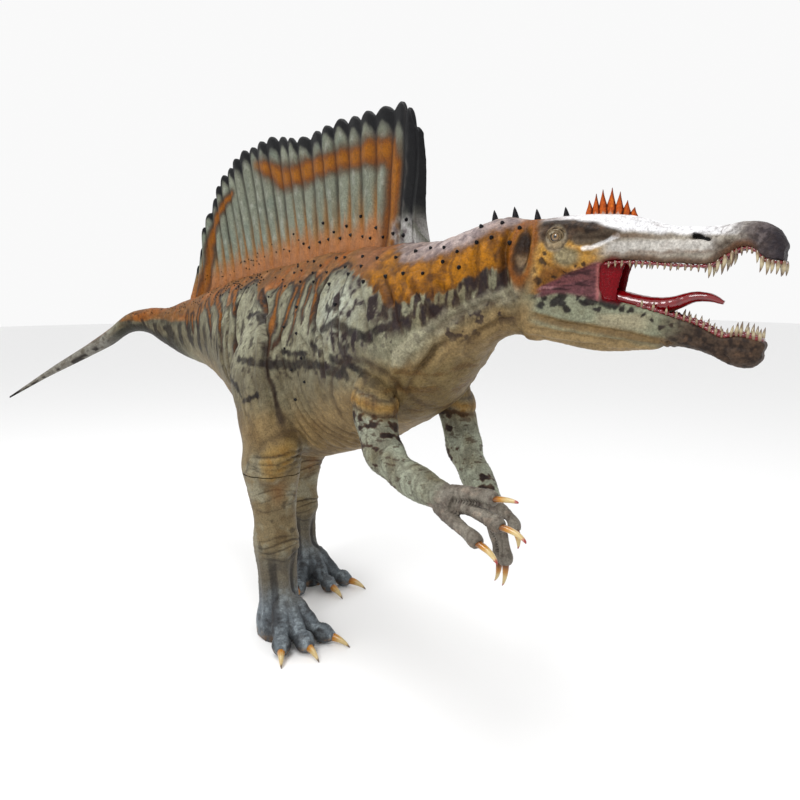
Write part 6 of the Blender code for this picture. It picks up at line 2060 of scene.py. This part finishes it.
def glazed(name, coat):
    """Smooth painted horn, enamel, flesh or glass: the point colours under a gloss."""
    if name in bpy.data.materials:
        return bpy.data.materials[name]
    made, _, shader, paint = painted(name)
    made.node_tree.links.new(paint.outputs["Color"], shader.inputs["Base Color"])
    shader.inputs["Coat Weight"].default_value = coat
    shader.inputs["Coat Roughness"].default_value = 0.08
    return made


def plain(name, colour, roughness):
    """An even colour, for the floor."""
    made, _, shader = shaded(name)
    shader.inputs["Base Color"].default_value = (*colour, 1)
    shader.inputs["Roughness"].default_value = roughness
    return made


def area_light(name, place, target, size, power_watts):
    """A square white lamp that shines on a target."""
    select_none()
    bpy.ops.object.light_add(type="AREA", location=place)
    lamp = bpy.context.active_object
    lamp.name = name
    lamp.data.shape = "SQUARE"
    lamp.data.size = size
    lamp.data.energy = power_watts
    lamp.rotation_euler = (Vector(target) - Vector(place)).to_track_quat("-Z", "Y").to_euler()


def colour_property(name, description, colour):
    """A colour for the panel."""
    return FloatVectorProperty(
        name=name, description=description, default=colour, size=3, min=0, max=1, subtype="COLOR")


class HideSettings(PropertyGroup):
    """Colours and relief of the trunk, neck and tail."""

    hide_colour: colour_property("Hide", "Pale ground colour of the flanks", PALE)
    back_colour: colour_property("Back", "The orange band down the back", srgb(130, 96, 58))
    neck_colour: colour_property("Neck band", "The bright middle of the band on the neck",
        srgb(158, 112, 12))
    belly_colour: colour_property("Belly", "Underside of the trunk and tail", srgb(146, 126, 92))
    stud_colour: colour_property("Studs", "The dark studs and the horns on the neck", srgb(24, 22, 28))
    fold_depth: FloatProperty(
        name="Relief", description="How deep the folds and creases are, as a share", default=1.0,
        min=0.0, max=1.5, subtype="FACTOR")
    stud_height: FloatProperty(
        name="Stud height", description="How far the largest studs stand out", default=0.013,
        min=0.004, max=0.03, subtype="DISTANCE", unit="LENGTH")


class HeadSettings(PropertyGroup):
    """Colours of the head and what is in its mouth, and the teeth's size."""

    # Whitish paint on the top of the skull and snout, lightened by a painted sky reflection; also the
    # painted highlight on the rim before the eye.
    crown_colour: colour_property("Crown", "Top of the skull and snout", srgb(226, 226, 228))
    cheek_colour: colour_property("Cheek", "The ochre cheek round the eye", srgb(180, 144, 78))
    jaw_colour: colour_property("Jaw", "Side of the lower jaw", srgb(140, 142, 124))
    iris_colour: colour_property("Iris", "The iris", srgb(112, 84, 36))
    mouth_colour: colour_property("Mouth", "Palate, throat and floor of the mouth", srgb(124, 10, 32))
    tongue_colour: colour_property("Tongue", "The tongue", srgb(128, 8, 28))
    gum_colour: colour_property("Gums", "The gums between the teeth", srgb(128, 26, 42))
    tooth_colour: colour_property("Teeth", "Middle of a tooth", srgb(182, 172, 146))
    crest_colour: colour_property("Crest", "The flames over the brow", srgb(172, 94, 42))
    tooth_length: FloatProperty(
        name="Longest tooth", description="How far the longest teeth stand out of the gum", default=0.040,
        min=0.01, max=0.05, subtype="DISTANCE", unit="LENGTH")


class LimbSettings(PropertyGroup):
    """Colours of the legs, arms, hands, feet and claws."""

    shin_colour: colour_property("Shins", "Lower legs", srgb(134, 122, 98))
    foot_colour: colour_property("Feet", "Feet and toes", srgb(118, 125, 130))
    arm_colour: colour_property("Arms", "Ground colour of the arms", srgb(158, 162, 148))
    hand_colour: colour_property("Hands", "Hands and fingers", srgb(134, 128, 120))
    claw_colour: colour_property("Claws", "Middle of a claw", srgb(190, 172, 130))
    quick_colour: colour_property("Claw roots", "Root of a claw", srgb(172, 122, 26))


class SailSettings(PropertyGroup):
    """Colours and relief of the sail."""

    sail_colour: colour_property("Sail", "Ground colour of the sail", srgb(134, 137, 124))
    band_colour: colour_property("Band", "The orange band round the sail", srgb(142, 96, 18))
    rim_colour: colour_property("Rim", "The dark rim and front ribs", srgb(18, 19, 24))
    rib_relief: FloatProperty(
        name="Rib relief", description="How deep the webs lie between the ribs", default=0.0115,
        min=0.002, max=0.014, subtype="DISTANCE", unit="LENGTH")


class StageSettings(PropertyGroup):
    """The floor, the light and the lens."""

    floor_colour: colour_property("Floor", "The plain floor", (0.86, 0.86, 0.86))
    sky_strength: FloatProperty(
        name="Soft light", description="Strength of the light from all round", default=0.95, min=0, max=3)
    key_power: FloatProperty(
        name="Key light", description="Power of the large lamp in front", default=230, min=0, max=2000,
        unit="POWER")
    lens: FloatProperty(
        name="Lens", description="Focal length of the camera, in mm", default=36.9, min=10, max=200)


class Step:
    """What the operators share."""

    bl_options = {"REGISTER", "UNDO"}

    def execute(self, context):
        self.build(context)
        return {"FINISHED"}


class SPINOSAURUS_OT_body(Step, Operator):
    """Build the trunk with its thighs and studs, and both lower legs"""

    bl_idname = "spinosaurus.body"
    bl_label = "Trunk and legs"

    def build(self, context):
        whole = build_body()
        whole = joined("torso hide", [whole, studs("studs", whole, body_stud_places(), 5)])
        finished(whole, "skin", skin("body skin", 1.0), "torso")


class SPINOSAURUS_OT_tail(Step, Operator):
    """Build the tail"""

    bl_idname = "spinosaurus.tail"
    bl_label = "Tail"

    def build(self, context):
        tail = build_tail()
        tail = joined("tail hide", [tail, studs("studs", tail, tail_stud_places(), 8)])
        finished(tail, "skin", skin("body skin", 1.0), "tail")


class SPINOSAURUS_OT_head(Step, Operator):
    """Build the neck, and the head with its jaw and eyelids"""

    bl_idname = "spinosaurus.head"
    bl_label = "Neck and head"

    def build(self, context):
        neck, head = build_head()
        spots = [(along, height, 1.0) for along, height in NECK_STUDS]
        neck = joined("neck hide", [
            neck, studs("studs", neck, spots, 6), dark_horns("horns", TOP_SPIKES[:3], BACK_HEIGHT)])
        finished(neck, "skin", skin("body skin", 1.0), "neck")
        head = joined("head hide", [head, dark_horns("horns", TOP_SPIKES[3:], SKULL_HEIGHT)])
        finished(head, "head_skin", skin("head skin", 0.7), "head", "lower_jaw")


class SPINOSAURUS_OT_arms(Step, Operator):
    """Build both arms with their hands"""

    bl_idname = "spinosaurus.arms"
    bl_label = "Arms"

    def build(self, context):
        for side, arm, fingers, _ in ARMS:
            name = side + "_arm"
            finished(build_arm(name, arm, fingers), "limb_skin", skin("limb skin", 1.0), name)


class SPINOSAURUS_OT_claws(Step, Operator):
    """Build the six finger claws and the six toe claws"""

    bl_idname = "spinosaurus.claws"
    bl_label = "Claws"

    def build(self, context):
        horn = glazed("claw horn", 0.3)
        for side, _, fingers, tips in ARMS:
            for number, (joints, tip) in enumerate(zip(fingers, tips), 1):
                name = f"{side}_hand_claw_{number}"
                finished(build_finger_claw(name, joints, tip), "claw", horn, name)
        for side, _, foot, _ in LEGS:
            for number, spread in enumerate(foot.spreads, 1):
                name = f"{side}_foot_claw_{number}"
                finished(build_toe_claw(name, foot, spread), "claw", horn, name)


class SPINOSAURUS_OT_eyes(Step, Operator):
    """Build the two eyeballs"""

    bl_idname = "spinosaurus.eyes"
    bl_label = "Eyes"

    def build(self, context):
        for name, side in (("right_eye", -1), ("left_eye", 1)):
            finished(build_eye(name, side), "eye", glazed("eye glass", 1.0), name)


class SPINOSAURUS_OT_sail(Step, Operator):
    """Build the ribbed sail and the studs on its foot"""

    bl_idname = "spinosaurus.sail"
    bl_label = "Sail"

    def build(self, context):
        sail = build_sail()
        sail = joined("sail skin", [sail, studs("studs", sail, sail_stud_places(), 7)])
        finished(sail, "sail_skin", skin("sail skin", 1.0), "sail")


class SPINOSAURUS_OT_crest(Step, Operator):
    """Build the crest of seven flames"""

    bl_idname = "spinosaurus.crest"
    bl_label = "Crest"

    def build(self, context):
        finished(build_crest(), "crest", skin("crest skin", 0.5), "head_crest")


class SPINOSAURUS_OT_tongue(Step, Operator):
    """Build the tongue"""

    bl_idname = "spinosaurus.tongue"
    bl_label = "Tongue"

    def build(self, context):
        finished(build_tongue(), "tongue", glazed("wet flesh", 0.6), "tongue")


class SPINOSAURUS_OT_teeth(Step, Operator):
    """Build both rows of teeth with their gums"""

    bl_idname = "spinosaurus.teeth"
    bl_label = "Teeth"

    def build(self, context):
        enamel = glazed("enamel", 0.4)
        upper = build_teeth(
            "upper_teeth", SKULL_HALF_WIDTH, UPPER_LIP_HEIGHT, -1,
            UPPER_TEETH, (1.66, 2.165), SNOUT_TIP, 11)
        finished(upper, "tooth", enamel, "upper_teeth")
        lower = build_teeth(
            "lower_teeth", JAW_HALF_WIDTH, LOWER_LIP_HEIGHT, 1,
            LOWER_TEETH, (1.76, 2.116), JAW_TIP, 12)
        finished(lower, "tooth", enamel, "lower_teeth")


CAMERA_PLACE = (3.672, -1.596, 1.65)
CAMERA_HEADING, CAMERA_PITCH = (-0.829, 0.559), 8.19           # on the ground plan, and degrees down


class SPINOSAURUS_OT_stage(Step, Operator):
    """Build the floor, the lamps and the camera"""

    bl_idname = "spinosaurus.stage"
    bl_label = "Stage"

    def build(self, context):
        stage = settings("stage")
        select_none()
        bpy.ops.mesh.primitive_plane_add(size=60, location=(0, 0, -0.0005))
        floor = bpy.context.active_object
        floor.name = "floor"
        floor.data.materials.append(plain("floor white", stage.floor_colour, 0.6))
        scene = context.scene
        scene.world = scene.world or bpy.data.worlds.new("soft light")
        scene.world.use_nodes = True
        sky = scene.world.node_tree.nodes["Background"]
        sky.inputs["Color"].default_value = (1, 1, 1, 1)
        sky.inputs["Strength"].default_value = stage.sky_strength
        area_light("key", (3.5, -4.5, 5.5), (0.3, 0.0, 1.2), 2.5, stage.key_power)
        area_light("over", (-0.5, -0.5, 6.5), (0.0, 0.1, 1.0), 2.5, 0.75 * stage.key_power)
        bpy.ops.object.camera_add(location=CAMERA_PLACE)
        camera = bpy.context.active_object
        camera.name = "camera"
        pitch = math.radians(CAMERA_PITCH)
        flat_x, flat_y = CAMERA_HEADING
        look = Vector((flat_x * math.cos(pitch), flat_y * math.cos(pitch), -math.sin(pitch)))
        camera.rotation_euler = look.to_track_quat("-Z", "Y").to_euler()
        camera.data.lens = stage.lens
        camera.data.sensor_width = 36
        scene.camera = camera
        scene.view_settings.view_transform = "Standard"


GROUPS = {
    "hide": HideSettings, "head": HeadSettings, "limbs": LimbSettings, "sail": SailSettings,
    "stage": StageSettings,
}
STEPS = (
    SPINOSAURUS_OT_body, SPINOSAURUS_OT_tail, SPINOSAURUS_OT_head, SPINOSAURUS_OT_arms,
    SPINOSAURUS_OT_claws, SPINOSAURUS_OT_eyes, SPINOSAURUS_OT_sail, SPINOSAURUS_OT_crest,
    SPINOSAURUS_OT_tongue, SPINOSAURUS_OT_teeth, SPINOSAURUS_OT_stage,
)


class SPINOSAURUS_PT_parts(Panel):
    """Lists the pieces, with their sizes and colours"""

    bl_label = "Spinosaurus"
    bl_space_type = "VIEW_3D"
    bl_region_type = "UI"
    bl_category = "Spinosaurus"

    def draw(self, context):
        for step_class in STEPS:
            self.layout.operator(step_class.bl_idname)
        for name, group in GROUPS.items():
            box = self.layout.box()
            box.label(text=name.capitalize())
            for key in group.__annotations__:
                box.prop(settings(name), key)


def register():
    for each in (*GROUPS.values(), *STEPS, SPINOSAURUS_PT_parts):
        bpy.utils.register_class(each)
    for name, group in GROUPS.items():
        setattr(bpy.types.Scene, "spinosaurus_" + name, PointerProperty(type=group))


def unregister():
    for name in GROUPS:
        delattr(bpy.types.Scene, "spinosaurus_" + name)
    for each in reversed((*GROUPS.values(), *STEPS, SPINOSAURUS_PT_parts)):
        bpy.utils.unregister_class(each)


def main():
    register()
    bpy.ops.spinosaurus.body()
    bpy.ops.spinosaurus.tail()
    bpy.ops.spinosaurus.head()
    bpy.ops.spinosaurus.arms()
    bpy.ops.spinosaurus.claws()
    bpy.ops.spinosaurus.eyes()
    bpy.ops.spinosaurus.sail()
    bpy.ops.spinosaurus.crest()
    bpy.ops.spinosaurus.tongue()
    bpy.ops.spinosaurus.teeth()
    bpy.ops.spinosaurus.stage()


if __name__ == "__main__":
    main()
